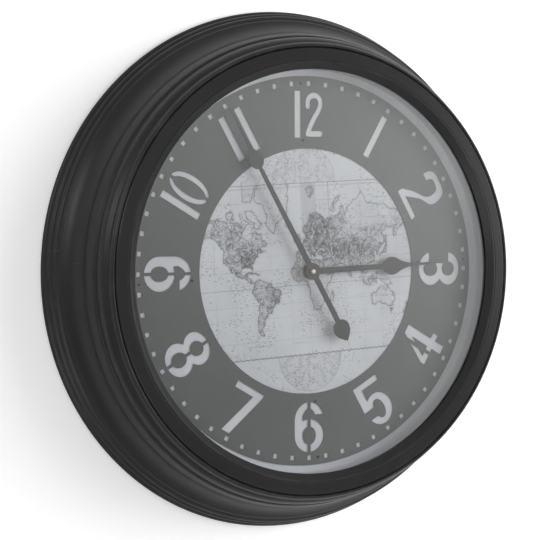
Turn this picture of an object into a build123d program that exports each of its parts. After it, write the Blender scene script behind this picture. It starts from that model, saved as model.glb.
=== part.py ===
from build123d import *
import os
from math import cos, radians, sin

# A round wall clock with a map dial, in millimetres. Up is +Z, the front faces -Y and the wall
# is the plane Y = 0. The hands turn about the Y axis. Heights are distances forward from the wall.

# Driving sizes of the case
case_radius = 300.0
case_depth = 98.9
half_turn = 180

# Back beads, three steps that run round the back edge
bead_count = 3
bead_start = 2.5
bead_width = 6.0
bead_pitch = 8.4
bead_bulge = 1.1
bead_drop = 1.7
bead_step = 3.45
bead_crest_share = 0.425
rim_chamfer = 0.8
groove_depth = 1.3

# Cove, shoulder and front beads of the moulding, each measured from the one before it. The
# widths run inwards and the rises forwards. The front beads are placed from the front.
cove_inset = 0.95
cove_lift = 0.9
cove_width = 16.8
cove_middle_width_share = 0.655
cove_middle_rise_share = 0.41
shoulder_middle_width = 0.9
shoulder_width = 3.8
shoulder_middle_rise = 8.7
shoulder_rise = 16.7
step_width = 3.0
step_rise = 1.8
large_bead_width = 5.2
large_bead_rise = 14.0
large_bead_bulge = 2.2
front_groove_width = 2.0
front_groove_rise = 1.8
small_bead_width = 2.8
small_bead_rise = 8.2
small_bead_middle_bulge = 0.1
small_bead_middle_rise = 5.4
small_bead_set_back = 1.9

# Seats inside the moulding
small_bead_wall = 1.8
bezel_depth = 10.2
board_seat_inset = 3.2
board_seat_depth = 10.5
inner_wall_thickness = 2.8
inner_wall_rise = 10.0
panel_seat_wall = 10.0
panel_ledge_width = 14.0
panel_recess = 4.0
panel_ledge_depth = 15.0
seat_gap = 0.3

# Bezel, glass and gasket
bezel_edge_drop = 1.7
bezel_edge_inset = 1.5
bezel_shoulder_set_back = 3.5
bezel_wall = 15.6
glass_overlap = 9.0
bezel_line_inset = 10.0
bezel_line_width = 0.8
bezel_line_depth = 0.6
bezel_nose_step = 2.0
bezel_nose_inset = 1.2
lip_rise = 1.0
glass_thickness = 3.0
gasket_thickness = 0.7
gasket_cover = 1.6

# Dial
dial_sink = 17.7
board_thickness = 6.0
paper_thickness = 0.5
liner_thickness = 1.4
ring_edge_gap = 6.1
ring_band = 82.0
ring_thickness = 0.6
ring_lift = 0.3
minute_square = 5.2
minute_inset = 8.5
minute_count = 60
hour_count = 12
dial_screw_angle = -3.0
dial_screw_inset = 9.5
dial_screw_head_radius = 1.4
dial_screw_head = 0.8
dial_screw_shank_radius = 0.9
dial_screw_depth = 4.5
spacer_radius = 2.5

# Numerals cut in the dial ring
numeral_inset = 38.5
numeral_half_width = 19.2
numeral_half_height = 28.5
side_stroke = 10.8
flat_stroke = 7.4
bridge_width = 3.4
bar_width = 8.3
bar_height = 53.0
bar_pitch = 22.9
slim_stroke = 6.4
slim_two_width = 23.0
slim_two_height = 50.0
slim_two_gap = 6.0
slim_zero_width = 28.3
slim_zero_gap = 3.4
slim_flat_share = 0.67

# Hands
hand_thickness = 0.8
hub_radius = 9.6
hour_hand_angle = 87.5
hour_hand_lift = 6.0
hour_arm_width = 7.4
hour_arm_end_width = 6.1
hour_spade_neck = 11.5
hour_spade_taper = 31.5
hour_spade_width = 20.9
hour_pin_length = 31.5
hour_pin_start_width = 3.8
hour_tip_gap = 7.5
minute_hand_angle = 330.0
hand_spacing = 2.6
minute_arm_width = 7.4
minute_arm_end_width = 4.7
minute_spade_neck = 10.0
minute_spade_taper = 21.5
minute_spade_width = 18.7
minute_pin_length = 44.3
minute_pin_start_width = 3.6
minute_tip_gap = 2.7
pin_tip_width = 1.8
tail_arm_width = 6.4
tail_start = 66.3
tail_wide = 77.7
tail_width = 21.2
tail_tip = 92.7
cap_radius = 2.7
cap_height = 2.8

# Back panel, its opening and the hanger
panel_thickness = 5.0
access_radius = 60.0
panel_screw_count = 12
hanger_inset = 62.0
hanger_width = 46.0
hanger_length = 62.0
hanger_thickness = 2.0
hanger_corner = 4.0
keyhole_radius = 5.5
keyhole_slot_radius = 2.75
keyhole_travel = 12.0
keyhole_window_width = 18.0
keyhole_window_length = 36.0
hanger_screw_spacing_x = 34.0
hanger_screw_spacing_z = 50.0

# Wood screws
wood_screw_radius = 1.5
wood_screw_head_radius = 3.2
wood_screw_head = 1.4
wood_screw_gap = 0.12
cross_width = 0.8
cross_length = 3.2
cross_depth = 0.6
panel_screw_length = 14.0
board_screw_count = 8
board_screw_inset = 8.0
board_screw_length = 15.0
bezel_screw_length = 21.0
bezel_screw_head_sink = 1.9
hanger_screw_length = 6.5

# Movement housing
movement_half_width = 31.0
movement_depth = 20.0
movement_wall = 1.5
movement_corner = 3.0
washer_thickness = 1.5
neck_radius = 4.0
neck_bore_radius = 2.65
neck_length = 12.5
neck_gap = 0.3
rubber_washer_radius = 9.0
brass_washer_radius = 8.5
brass_washer_thickness = 0.8
nut_flats = 13.0
nut_height = 2.5
cover_screw_x = 27.2
cover_screw_top = 27.0
cover_screw_bottom = -10.0
cover_post_radius = 2.2
cover_screw_shank_radius = 0.8
cover_screw_head_radius = 1.7
cover_screw_head = 0.9
cover_screw_length = 9.0

# Battery bay at the foot of the movement
battery_radius = 7.1
battery_length = 49.2
battery_nub_radius = 2.7
battery_nub_length = 1.3
battery_z = -22.0
battery_gap = 0.3
bay_half_length = 27.2
bay_rib = 1.2
bay_wall_z = -14.2
contact_thickness = 0.4
contact_height = 12.0
contact_width = 11.0
contact_bump_radius = 3.0
window_length = 51.0
window_width = 13.6

# Gear train. Places are the arbors' X and Z in the movement.
motion_module = 0.4
cannon_teeth = 15
minute_wheel_teeth = 45
minute_pinion_teeth = 12
hour_wheel_teeth = 48
knob_pinion_teeth = 18
minute_wheel_direction = -10.0
knob_direction = 60.0
rotor_teeth = 8
rotor_module = 0.28
reduction_teeth = 60
reduction_pinion_teeth = 8
seconds_module = 0.48
seconds_teeth = 32
seconds_pinion_teeth = 8
third_module = 0.3
third_teeth = 60
third_pinion_teeth = 8
centre_module = 0.34
centre_teeth = 64
third_direction = 160.0
seconds_direction = 90.0
reduction_direction = 20.0
rotor_direction = -5.0

# Tooth form, as shares of the module and of the tooth pitch
addendum_share = 0.8
dedendum_share = 1.2
root_half_share = 0.22
pitch_half_share = 0.165
tip_half_share = 0.085

# Layers of the train, measured back from the inside of the front wall
wheel_thickness = 1.0
pinion_overrun = 0.2
hour_layer = 1.7
minute_layer = 3.9
centre_layer = 6.1
third_layer = 8.3
seconds_layer = 10.5
reduction_layer = 12.7
arbor_radius = 0.5
pivot_radius = 0.35
pivot_length = 0.9
pivot_gap = 0.05
end_shake = 0.2

# Centre arbor, hour tube and clutch
minute_arbor_radius = 1.7
rear_arbor_radius = 1.2
tube_bore_gap = 0.05
hour_tube_radius = 2.6
collar_radius = 2.2
collar_thickness = 0.8
collar_gap = 0.15
hand_seat_radius = 1.5
thread_radius = 1.2
hand_fit_gap = 0.02
thread_length = 1.9
cap_round_share = 0.6

# Setting knob
knob_radius = 6.0
knob_height = 4.2
knob_gap = 0.3
knob_shaft_radius = 1.5
knob_groove_count = 18
knob_groove_radius = 0.5

# Rotor, stator, coil and circuit board
magnet_radius = 2.9
magnet_height = 1.6
stator_thickness = 0.8
stator_hole_gap = 0.4
stator_back = 2.3
stator_length = 24.0
stator_width = 8.6
stator_shift = 7.0
stator_leg = 3.0
core_z = 25.3
core_width = 2.4
core_thickness = 1.0
core_length = 21.0
coil_length = 13.0
coil_size = 5.0
coil_corner = 1.0
coil_gap = 0.15
board_post_radius = 1.4
circuit_length = 20.0
circuit_width = 12.0
circuit_thickness = 0.8
circuit_lift = 1.5
circuit_x = -14.0
circuit_z = -6.5
chip_radius = 2.6
chip_height = 0.9
crystal_radius = 1.0
crystal_length = 6.0
crystal_inset = 3.0

overrun = 1.0

# Moulding radii that follow from the sizes above, from the outside in
bead_radius = case_radius - bead_bulge
cove_back_radius = bead_radius - bead_count * bead_step - cove_inset
cove_front_radius = cove_back_radius - cove_width
shoulder_radius = cove_front_radius - shoulder_width
step_radius = shoulder_radius - step_width
large_bead_radius = step_radius - large_bead_width
front_groove_radius = large_bead_radius - front_groove_width
small_bead_radius = front_groove_radius - small_bead_width
bezel_seat_radius = small_bead_radius - small_bead_wall
board_seat_radius = bezel_seat_radius - board_seat_inset
inner_wall_radius = cove_front_radius - inner_wall_thickness
panel_seat_radius = case_radius - panel_seat_wall
panel_ledge_inner_radius = panel_seat_radius - panel_ledge_width

# Moulding heights, from the back and from the front
cove_back_height = bead_start + bead_count * bead_pitch + cove_lift
small_bead_height = case_depth - small_bead_set_back
front_groove_height = small_bead_height - small_bead_rise
large_bead_height = front_groove_height - front_groove_rise
step_height = large_bead_height - large_bead_rise
shoulder_height = step_height - step_rise
cove_front_height = shoulder_height - shoulder_rise
cove_rise = cove_front_height - cove_back_height
panel_ledge_height = panel_recess + panel_thickness
panel_ledge_back_height = panel_ledge_height + panel_ledge_depth
inner_wall_height = panel_ledge_back_height + inner_wall_rise

# Radii of the glass, the dial and the hands
glass_radius = bezel_seat_radius - bezel_wall
opening_radius = glass_radius - glass_overlap
gasket_inner_radius = opening_radius + gasket_cover
bezel_line_radius = opening_radius + bezel_line_inset
bezel_nose_radius = bezel_line_radius - bezel_nose_step
flange_radius = opening_radius + gasket_cover + seat_gap + liner_thickness + seat_gap
liner_inner_radius = flange_radius - seat_gap - liner_thickness
ring_outer_radius = opening_radius - ring_edge_gap
ring_inner_radius = ring_outer_radius - ring_band
minute_radius = ring_outer_radius - minute_inset
numeral_radius = ring_inner_radius + numeral_inset
dial_screw_inner_radius = ring_inner_radius + dial_screw_inset
hour_tip = numeral_radius - hour_tip_gap
hour_spade_end = hour_tip - hour_pin_length
hour_spade_wide = hour_spade_end - hour_spade_taper
hour_spade_start = hour_spade_wide - hour_spade_neck
minute_tip = minute_radius - minute_tip_gap
minute_spade_end = minute_tip - minute_pin_length
minute_spade_wide = minute_spade_end - minute_spade_taper
minute_spade_start = minute_spade_wide - minute_spade_neck
panel_screw_radius = panel_seat_radius - panel_ledge_width / 2
hanger_radius = panel_seat_radius - hanger_inset
board_screw_radius = board_seat_radius - board_screw_inset
bezel_screw_circle_radius = (bezel_seat_radius + glass_radius) / 2

# Heights that follow from the sizes above
bezel_seat_height = case_depth - bezel_depth
dial_height = bezel_seat_height - dial_sink
hour_hand_height = dial_height + hour_hand_lift
minute_hand_height = hour_hand_height + hand_spacing
board_front = dial_height - paper_thickness
board_back = board_front - board_thickness
board_wall_height = board_front - board_seat_depth
panel_back = panel_ledge_height - panel_thickness
glass_back = bezel_seat_height
glass_front = glass_back + glass_thickness
gasket_front = glass_front + gasket_thickness
ring_back = dial_height + ring_lift
ring_front = ring_back + ring_thickness
movement_front = board_back - washer_thickness
movement_back = movement_front - movement_depth
front_wall_inside = movement_front - movement_wall
cover_inside = movement_back + movement_wall
battery_height = (front_wall_inside + cover_inside) / 2
nut_back = dial_height + brass_washer_thickness


# Planes and small helpers
def front_plane(height, x=0, z=0, angle=0):
    """A plane that faces the viewer, its up direction turned clockwise by a clock angle."""
    turn = radians(angle)
    return Plane(origin=(x, -height, z), x_dir=(cos(turn), 0, -sin(turn)), z_dir=(0, -1, 0))


def polar(radius, angle, start=(0, 0)):
    """A point at a radius and an angle from a start point."""
    return (start[0] + radius * cos(radians(angle)), start[1] + radius * sin(radians(angle)))


def disc(height, thickness, radius, x=0, z=0, mode=Mode.ADD):
    """A round plate whose back lies at a height in front of the wall."""
    with BuildSketch(front_plane(height, x, z)) as outline:
        Circle(radius)
    extrude(outline.sketch, amount=thickness, mode=mode)


def screws(height, places, shank_radius, shank_length, head_radius, head_height, forward):
    """Pan-head screws with a cross recess. Forward is 1 where they are driven towards the front."""
    head_back = height - head_height if forward > 0 else height
    shank_back = height if forward > 0 else height - shank_length
    recess = min(cross_length / 2, head_radius - cross_width / 2)
    recess_depth = min(cross_depth, head_height / 2)
    outer_face = height - head_height if forward > 0 else height + head_height - recess_depth
    with BuildPart() as group:
        for x, z in places:
            disc(head_back, head_height, head_radius, x, z)
            disc(shank_back, shank_length, shank_radius, x, z)
            with BuildSketch(front_plane(outer_face, x, z)) as cross:
                Rectangle(2 * recess, min(cross_width, recess / 2))
                Rectangle(min(cross_width, recess / 2), 2 * recess)
            extrude(cross.sketch, amount=recess_depth, mode=Mode.SUBTRACT)
    return group


def circle_places(radius, count, start=0):
    """Evenly spaced places on a circle, the first one at a start angle."""
    return [polar(radius, start + 360 * step / count) for step in range(count)]


def holes(height, depth, radius, places):
    """Round holes through a plate whose back lies at a height."""
    for x, z in places:
        disc(height, depth, radius, x, z, mode=Mode.SUBTRACT)


def finish(builder, name):
    """Label a finished piece and write it."""
    builder.part.label = name
    export_step(builder.part, f"parts/{name}.step")


os.makedirs("parts", exist_ok=True)
profile_plane = Plane(origin=(0, 0, 0), x_dir=(1, 0, 0), z_dir=(0, 0, -1))
panel_screw_places = circle_places(panel_screw_radius, panel_screw_count, 15)
board_screw_places = circle_places(board_screw_radius, board_screw_count)
bezel_screw_places = circle_places(bezel_screw_circle_radius, board_screw_count, 22.5)
dial_screw_places = [
    polar(radius, 90 - dial_screw_angle - quarter * 90)
    for radius in (minute_radius, dial_screw_inner_radius)
    for quarter in range(4)
]

# Case moulding, a turned ring with beads, a cove and seats for the pieces it carries
with BuildPart() as case_moulding:
    with BuildSketch(profile_plane):
        with BuildLine():
            Polyline(
                (panel_seat_radius, 0),
                (bead_radius - rim_chamfer, 0),
                (bead_radius, rim_chamfer),
                (bead_radius, bead_start),
            )
            for bead in range(bead_count):
                radius = bead_radius - bead * bead_step
                height = bead_start + bead * bead_pitch
                crest = (radius + bead_bulge, height + bead_width * bead_crest_share)
                end = (radius - bead_drop, height + bead_width)
                ThreePointArc((radius, height), crest, end)
                last = bead == bead_count - 1
                following = (radius - bead_step, height + bead_pitch)
                if last:
                    following = (cove_back_radius, cove_back_height)
                groove = (following[0] - groove_depth / 2, (end[1] + following[1]) / 2)
                Polyline(end, groove, following)
            cove_middle = (cove_back_radius - cove_width * cove_middle_width_share,
                           cove_back_height + cove_rise * cove_middle_rise_share)
            cove_end = (cove_front_radius, cove_front_height)
            ThreePointArc((cove_back_radius, cove_back_height), cove_middle, cove_end)
            shoulder_middle = (cove_front_radius - shoulder_middle_width,
                               cove_front_height + shoulder_middle_rise)
            ThreePointArc(cove_end, shoulder_middle, (shoulder_radius, shoulder_height))
            step = (step_radius, step_height)
            Line((shoulder_radius, shoulder_height), step)
            large_end = (large_bead_radius, large_bead_height)
            ThreePointArc(step, ((step[0] + large_end[0]) / 2 + large_bead_bulge,
                                 (step[1] + large_end[1]) / 2 + large_bead_bulge / 2), large_end)
            groove_point = (front_groove_radius, front_groove_height)
            Line(large_end, groove_point)
            small_end = (small_bead_radius, small_bead_height)
            small_middle = (front_groove_radius + small_bead_middle_bulge,
                            front_groove_height + small_bead_middle_rise)
            ThreePointArc(groove_point, small_middle, small_end)
            Polyline(
                small_end,
                (bezel_seat_radius, small_bead_height - bezel_edge_drop),
                (bezel_seat_radius, bezel_seat_height),
                (flange_radius, bezel_seat_height),
                (flange_radius, board_front),
                (board_seat_radius, board_front),
                (board_seat_radius, board_wall_height),
                (inner_wall_radius, inner_wall_height),
                (panel_ledge_inner_radius, panel_ledge_back_height),
                (panel_ledge_inner_radius, panel_ledge_height),
                (panel_seat_radius, panel_ledge_height),
                (panel_seat_radius, 0),
            )
        make_face()
    revolve(axis=Axis.Y)
    hole_radius = wood_screw_radius + wood_screw_gap
    panel_hole = panel_screw_length - panel_thickness + overrun
    holes(panel_ledge_height, panel_hole, hole_radius, panel_screw_places)
    board_hole = board_screw_length - board_thickness + overrun
    holes(board_front, board_hole, hole_radius, board_screw_places)
    holes(board_front, bezel_seat_height - board_front, hole_radius, bezel_screw_places)
    head_hole = wood_screw_head_radius + wood_screw_gap
    holes(board_front, bezel_screw_head_sink, head_hole, bezel_screw_places)
finish(case_moulding, "case_moulding")

# Front bezel, which holds the glass down on the flange of the moulding
with BuildPart() as front_bezel:
    outer = bezel_seat_radius - seat_gap
    glass_wall = glass_radius + seat_gap
    line_height = case_depth - bezel_nose_inset / 2
    bezel_shoulder_height = case_depth - bezel_shoulder_set_back
    with BuildSketch(profile_plane):
        with BuildLine():
            Polyline(
                (outer, bezel_seat_height),
                (outer, bezel_shoulder_height),
                (outer - bezel_edge_inset, bezel_shoulder_height + bezel_edge_drop),
                (bezel_line_radius + bezel_line_width / 2, line_height),
                (bezel_line_radius, line_height - bezel_line_depth),
                (bezel_line_radius - bezel_line_width / 2, line_height),
            )
            ThreePointArc(
                (bezel_line_radius - bezel_line_width / 2, line_height),
                (bezel_nose_radius, case_depth),
                (bezel_nose_radius - bezel_nose_inset, case_depth - bezel_nose_inset / 2),
            )
            Polyline(
                (bezel_nose_radius - bezel_nose_inset, case_depth - bezel_nose_inset / 2),
                (opening_radius, gasket_front + lip_rise),
                (opening_radius, gasket_front),
                (glass_wall, gasket_front),
                (glass_wall, bezel_seat_height),
                (outer, bezel_seat_height),
            )
        make_face()
    revolve(axis=Axis.Y)
    flange_depth = bezel_seat_height - board_front
    bite = bezel_screw_length - flange_depth + bezel_screw_head_sink + overrun / 2
    holes(bezel_seat_height, bite, wood_screw_radius + wood_screw_gap, bezel_screw_places)
finish(front_bezel, "front_bezel")

with BuildPart() as glass_lens:
    disc(glass_back, glass_thickness, glass_radius)
finish(glass_lens, "glass_lens")

with BuildPart() as glass_gasket:
    disc(glass_front, gasket_thickness, glass_radius)
    disc(glass_front, gasket_thickness, gasket_inner_radius, mode=Mode.SUBTRACT)
finish(glass_gasket, "glass_gasket")

# Liner, a painted strip that stands round the dial under the glass
with BuildPart() as dial_liner:
    liner_height = glass_back - seat_gap - dial_height
    disc(dial_height, liner_height, liner_inner_radius + liner_thickness)
    disc(dial_height, liner_height, liner_inner_radius, mode=Mode.SUBTRACT)
finish(dial_liner, "dial_liner")

with BuildPart() as dial_board:
    disc(board_back, board_thickness, board_seat_radius - seat_gap)
    disc(board_back, board_thickness, neck_radius + neck_gap, mode=Mode.SUBTRACT)
    holes(board_back, board_thickness, wood_screw_radius + wood_screw_gap, board_screw_places)
    pilot = dial_screw_shank_radius + wood_screw_gap
    holes(board_front - dial_screw_depth, dial_screw_depth, pilot, dial_screw_places)
finish(dial_board, "dial_board")

with BuildPart() as dial_paper:
    disc(board_front, paper_thickness, liner_inner_radius + liner_thickness)
    disc(board_front, paper_thickness, neck_radius + neck_gap, mode=Mode.SUBTRACT)
    pilot = dial_screw_shank_radius + wood_screw_gap
    holes(board_front, paper_thickness, pilot, dial_screw_places)
finish(dial_paper, "dial_paper")

# Outlines of the straight numerals, as shares of the numeral's half width and half height
seven_share = (
    (-1.0, 1.0), (1.0, 1.0), (1.0, 0.86), (0.02, -1.0), (-0.58, -1.0),
    (0.36, 0.72), (-1.0, 0.72),
)
four_outer_share = (
    (0.62, 1.0), (0.62, -0.26), (1.0, -0.26), (1.0, -0.53), (0.62, -0.53),
    (0.62, -1.0), (0.08, -1.0), (0.08, -0.53), (-1.0, -0.53), (-1.0, -0.3), (0.02, 1.0),
)
four_inner_share = ((0.08, 0.56), (-0.6, -0.26), (0.08, -0.26))
four_bridge_share = (-0.34, -0.14)
five_bar_share = 0.84
five_stem_end_share = -0.15
five_bowl_shift_share = 0.08
five_bowl_height_share = 0.68
five_mouth_share = -0.55
three_mouth_share = 0.46
upper_bowl_share = 0.545
lower_bowl_share = 0.585
six_loop_share = 0.66
six_crown_share = 0.72
six_hook_share = 0.5
two_bowl_share = 0.62
two_terminal_share = 0.44
two_waist_share = 0.16


def scaled(shares):
    """Outline points in millimetres from shares of the numeral's half sizes."""
    return [(x * numeral_half_width, y * numeral_half_height) for x, y in shares]


def filled(points, mode=Mode.ADD):
    """A filled outline with straight sides."""
    with BuildLine() as outline:
        Polyline(*points, close=True)
    make_face(outline.edges(), mode=mode)


def box_between(low_x, high_x, low_y, high_y, mode=Mode.SUBTRACT):
    """A rectangle between two corners."""
    with Locations(((low_x + high_x) / 2, (low_y + high_y) / 2)):
        Rectangle(high_x - low_x, high_y - low_y, mode=mode)


def ellipse_at(y, half_width, half_height, mode=Mode.ADD, x=0):
    """An ellipse on the numeral's axis."""
    with Locations((x, y)):
        Ellipse(half_width, half_height, mode=mode)


def bridge():
    """The strip of metal that holds the islands of a numeral."""
    reach = numeral_half_height + overrun
    box_between(-bridge_width / 2, bridge_width / 2, -reach, reach)


def bar(x=0):
    """The plain upright of a 1."""
    with Locations((x, 0)):
        Rectangle(bar_width, bar_height)


def stacked_bowls():
    """The two bowls of a 3 or an 8."""
    half, tall = numeral_half_width, numeral_half_height
    upper, lower = tall * upper_bowl_share, tall * lower_bowl_share
    ellipse_at(tall - upper, half, upper)
    ellipse_at(lower - tall, half, lower)
    ellipse_at(tall - upper, half - side_stroke, upper - flat_stroke, Mode.SUBTRACT)
    ellipse_at(lower - tall, half - side_stroke, lower - flat_stroke, Mode.SUBTRACT)


def numeral_one():
    bar()


def numeral_two():
    half, tall = numeral_half_width, numeral_half_height
    bowl = tall * two_bowl_share
    centre = tall - bowl
    terminal = tall * two_terminal_share
    inner = half - side_stroke
    waist = tall * two_waist_share
    with BuildLine() as outline:
        Spline((-half, terminal), (0, tall), (half, centre), tangents=((0, 1), (0, -1)))
        Spline((half, centre), (side_stroke / 2, -waist), (side_stroke - half, flat_stroke - tall),
               tangents=((0, -1), (-1, -1)))
        Polyline((side_stroke - half, flat_stroke - tall), (half, flat_stroke - tall),
                 (half, -tall), (-half, -tall), (-half, flat_stroke - tall))
        Spline((-half, flat_stroke - tall), (-side_stroke / 3, -waist), (inner, centre),
               tangents=((1, 1), (0, 1)))
        Spline((inner, centre), (0, tall - flat_stroke), (-inner - flat_stroke / 4, terminal),
               tangents=((0, 1), (0, -1)))
        Line((-inner - flat_stroke / 4, terminal), (-half, terminal))
    make_face(outline.edges())


def numeral_three():
    stacked_bowls()
    mouth = numeral_half_height * three_mouth_share
    bar_start = -numeral_half_width / 3
    box_between(-numeral_half_width - overrun, bar_start, -mouth, mouth)


def numeral_four():
    half = numeral_half_width
    filled(scaled(four_outer_share))
    filled(scaled(four_inner_share), Mode.SUBTRACT)
    low, high = four_bridge_share
    reach = numeral_half_height
    box_between(low * half, high * half, -reach, reach)


def numeral_five():
    half, tall = numeral_half_width, numeral_half_height
    bowl = tall * five_bowl_height_share
    shift = half * five_bowl_shift_share
    wide = half - shift
    ellipse_at(bowl - tall, wide, bowl, x=shift)
    ellipse_at(bowl - tall, wide - side_stroke, bowl - flat_stroke, Mode.SUBTRACT, x=shift)
    mouth_low = tall * five_mouth_share
    stem_end = tall * five_stem_end_share
    box_between(-half - overrun, shift, mouth_low, stem_end)
    box_between(-half, side_stroke - half, stem_end, tall, Mode.ADD)
    box_between(-half, half * five_bar_share, tall - flat_stroke, tall, Mode.ADD)


def numeral_six(turned=False):
    half, tall = numeral_half_width, numeral_half_height
    sign = -1 if turned else 1
    loop = tall * six_loop_share
    crown = tall * six_crown_share
    inner = half - side_stroke
    ellipse_at(sign * (tall - crown), half, crown)
    box_between(-half, half, min(sign * (loop - tall), sign * (tall - crown)),
                max(sign * (loop - tall), sign * (tall - crown)), Mode.ADD)
    ellipse_at(sign * (tall - crown), inner, crown - flat_stroke, Mode.SUBTRACT)
    hook = tall * six_hook_share
    low, high = sorted((-sign * (tall + overrun), sign * hook))
    side_low, side_high = sorted((-sign * inner, sign * (half + overrun)))
    box_between(side_low, side_high, low, high)
    ellipse_at(sign * (loop - tall), half, loop)
    ellipse_at(sign * (loop - tall), inner, loop - flat_stroke - overrun, Mode.SUBTRACT)
    bridge()


def numeral_seven():
    filled(scaled(seven_share))


def numeral_eight():
    stacked_bowls()
    bridge()


def numeral_nine():
    numeral_six(turned=True)


def numeral_ten():
    total = bar_width + slim_zero_gap + slim_zero_width
    bar(bar_width / 2 - total / 2)
    centre = total / 2 - slim_zero_width / 2
    half, tall = slim_zero_width / 2, bar_height / 2
    ellipse_at(0, half, tall, x=centre)
    ellipse_at(0, half - slim_stroke, tall - slim_stroke * slim_flat_share, Mode.SUBTRACT, x=centre)
    box_between(centre - bridge_width / 2, centre + bridge_width / 2, -tall, tall)


def numeral_eleven():
    bar(-bar_pitch / 2)
    bar(bar_pitch / 2)


def numeral_twelve():
    total = bar_width + slim_two_gap + slim_two_width
    bar(bar_width / 2 - total / 2)
    half = (slim_two_width - slim_stroke) / 2
    top = (slim_two_height - slim_stroke) / 2
    centre = total / 2 - slim_two_width / 2
    bowl = top - half
    hook_y = bowl - half / 2
    with BuildLine() as stroke:
        Line((centre - half, hook_y), (centre - half, bowl))
        ThreePointArc((centre - half, bowl), (centre, top), (centre + half, bowl))
        Spline((centre + half, bowl), (centre + half / 3, 0), (centre - half, -top),
               tangents=((0, -1), (-half, -top)))
    trace(stroke.edges(), line_width=slim_stroke)
    box_between(centre - half, centre + half, -top - slim_stroke / 2, -top + slim_stroke / 2,
                Mode.ADD)
    for x, y in ((centre - half, hook_y), (centre + half, -top), (centre - half, -top)):
        with Locations((x, y)):
            Circle(slim_stroke / 2)


numerals = (
    numeral_twelve, numeral_one, numeral_two, numeral_three, numeral_four, numeral_five,
    numeral_six, numeral_seven, numeral_eight, numeral_nine, numeral_ten, numeral_eleven,
)
hours_read_from_outside = (4, 5, 6, 7, 8)

# Dial ring, sheet metal with numerals and minute squares cut through
with BuildPart() as dial_ring:
    with BuildSketch(front_plane(ring_back)):
        Circle(ring_outer_radius)
        Circle(ring_inner_radius, mode=Mode.SUBTRACT)
        with PolarLocations(minute_radius, minute_count):
            Rectangle(minute_square, minute_square, mode=Mode.SUBTRACT)
        with Locations(*dial_screw_places):
            Circle(dial_screw_shank_radius + wood_screw_gap, mode=Mode.SUBTRACT)
    extrude(amount=ring_thickness)
    for hour, draw_numeral in enumerate(numerals):
        angle = 360 * hour / hour_count
        x = numeral_radius * sin(radians(angle))
        z = numeral_radius * cos(radians(angle))
        upright = angle + half_turn if hour in hours_read_from_outside else angle
        with BuildSketch(front_plane(ring_back, x, z, upright)):
            draw_numeral()
        extrude(amount=ring_thickness, mode=Mode.SUBTRACT)
finish(dial_ring, "dial_ring")

with BuildPart() as dial_ring_spacers:
    for x, z in dial_screw_places:
        disc(dial_height, ring_lift, spacer_radius, x, z)
    holes(dial_height, ring_lift, dial_screw_shank_radius + wood_screw_gap, dial_screw_places)
finish(dial_ring_spacers, "dial_ring_spacers")

dial_screw_length = ring_front - board_front + dial_screw_depth - overrun / 2
dial_ring_screws = screws(ring_front, dial_screw_places, dial_screw_shank_radius,
                          dial_screw_length, dial_screw_head_radius, dial_screw_head, -1)
finish(dial_ring_screws, "dial_ring_screws")

dial_board_screws = screws(board_back, board_screw_places, wood_screw_radius,
                           board_screw_length, wood_screw_head_radius, wood_screw_head, 1)
finish(dial_board_screws, "dial_board_screws")

bezel_screw_back = board_front + bezel_screw_head_sink
bezel_screws = screws(bezel_screw_back, bezel_screw_places, wood_screw_radius,
                      bezel_screw_length, wood_screw_head_radius, wood_screw_head, 1)
finish(bezel_screws, "bezel_screws")

# Back panel with the access opening and a window behind the keyhole
hanger_screw_places = [
    (side * hanger_screw_spacing_x / 2, hanger_radius + end * hanger_screw_spacing_z / 2)
    for side in (-1, 1)
    for end in (-1, 1)
]
keyhole_window_z = hanger_radius + keyhole_travel / 2
with BuildPart() as back_panel:
    disc(panel_back, panel_thickness, panel_seat_radius - seat_gap)
    disc(panel_back, panel_thickness, access_radius, mode=Mode.SUBTRACT)
    with BuildSketch(front_plane(panel_back, 0, keyhole_window_z)):
        RectangleRounded(keyhole_window_width, keyhole_window_length, hanger_corner)
    extrude(amount=panel_thickness, mode=Mode.SUBTRACT)
    hole_radius = wood_screw_radius + wood_screw_gap
    holes(panel_back, panel_thickness, hole_radius, panel_screw_places)
    holes(panel_back, panel_thickness, hole_radius, hanger_screw_places)
finish(back_panel, "back_panel")

back_panel_screws = screws(panel_back, panel_screw_places, wood_screw_radius,
                           panel_screw_length, wood_screw_head_radius, wood_screw_head, 1)
finish(back_panel_screws, "back_panel_screws")

with BuildPart() as hanger_plate:
    plate_back = panel_back - hanger_thickness
    with BuildSketch(front_plane(plate_back, 0, hanger_radius)):
        RectangleRounded(hanger_width, hanger_length, hanger_corner)
        Circle(keyhole_radius, mode=Mode.SUBTRACT)
        with Locations((0, keyhole_travel)):
            Circle(keyhole_slot_radius, mode=Mode.SUBTRACT)
        box_between(-keyhole_slot_radius, keyhole_slot_radius, 0, keyhole_travel)
    extrude(amount=hanger_thickness)
    holes(plate_back, hanger_thickness, wood_screw_radius + wood_screw_gap, hanger_screw_places)
finish(hanger_plate, "hanger_plate")

hanger_screws = screws(plate_back, hanger_screw_places, wood_screw_radius,
                       hanger_screw_length, wood_screw_head_radius, wood_screw_head, 1)
finish(hanger_screws, "hanger_screws")

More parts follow.
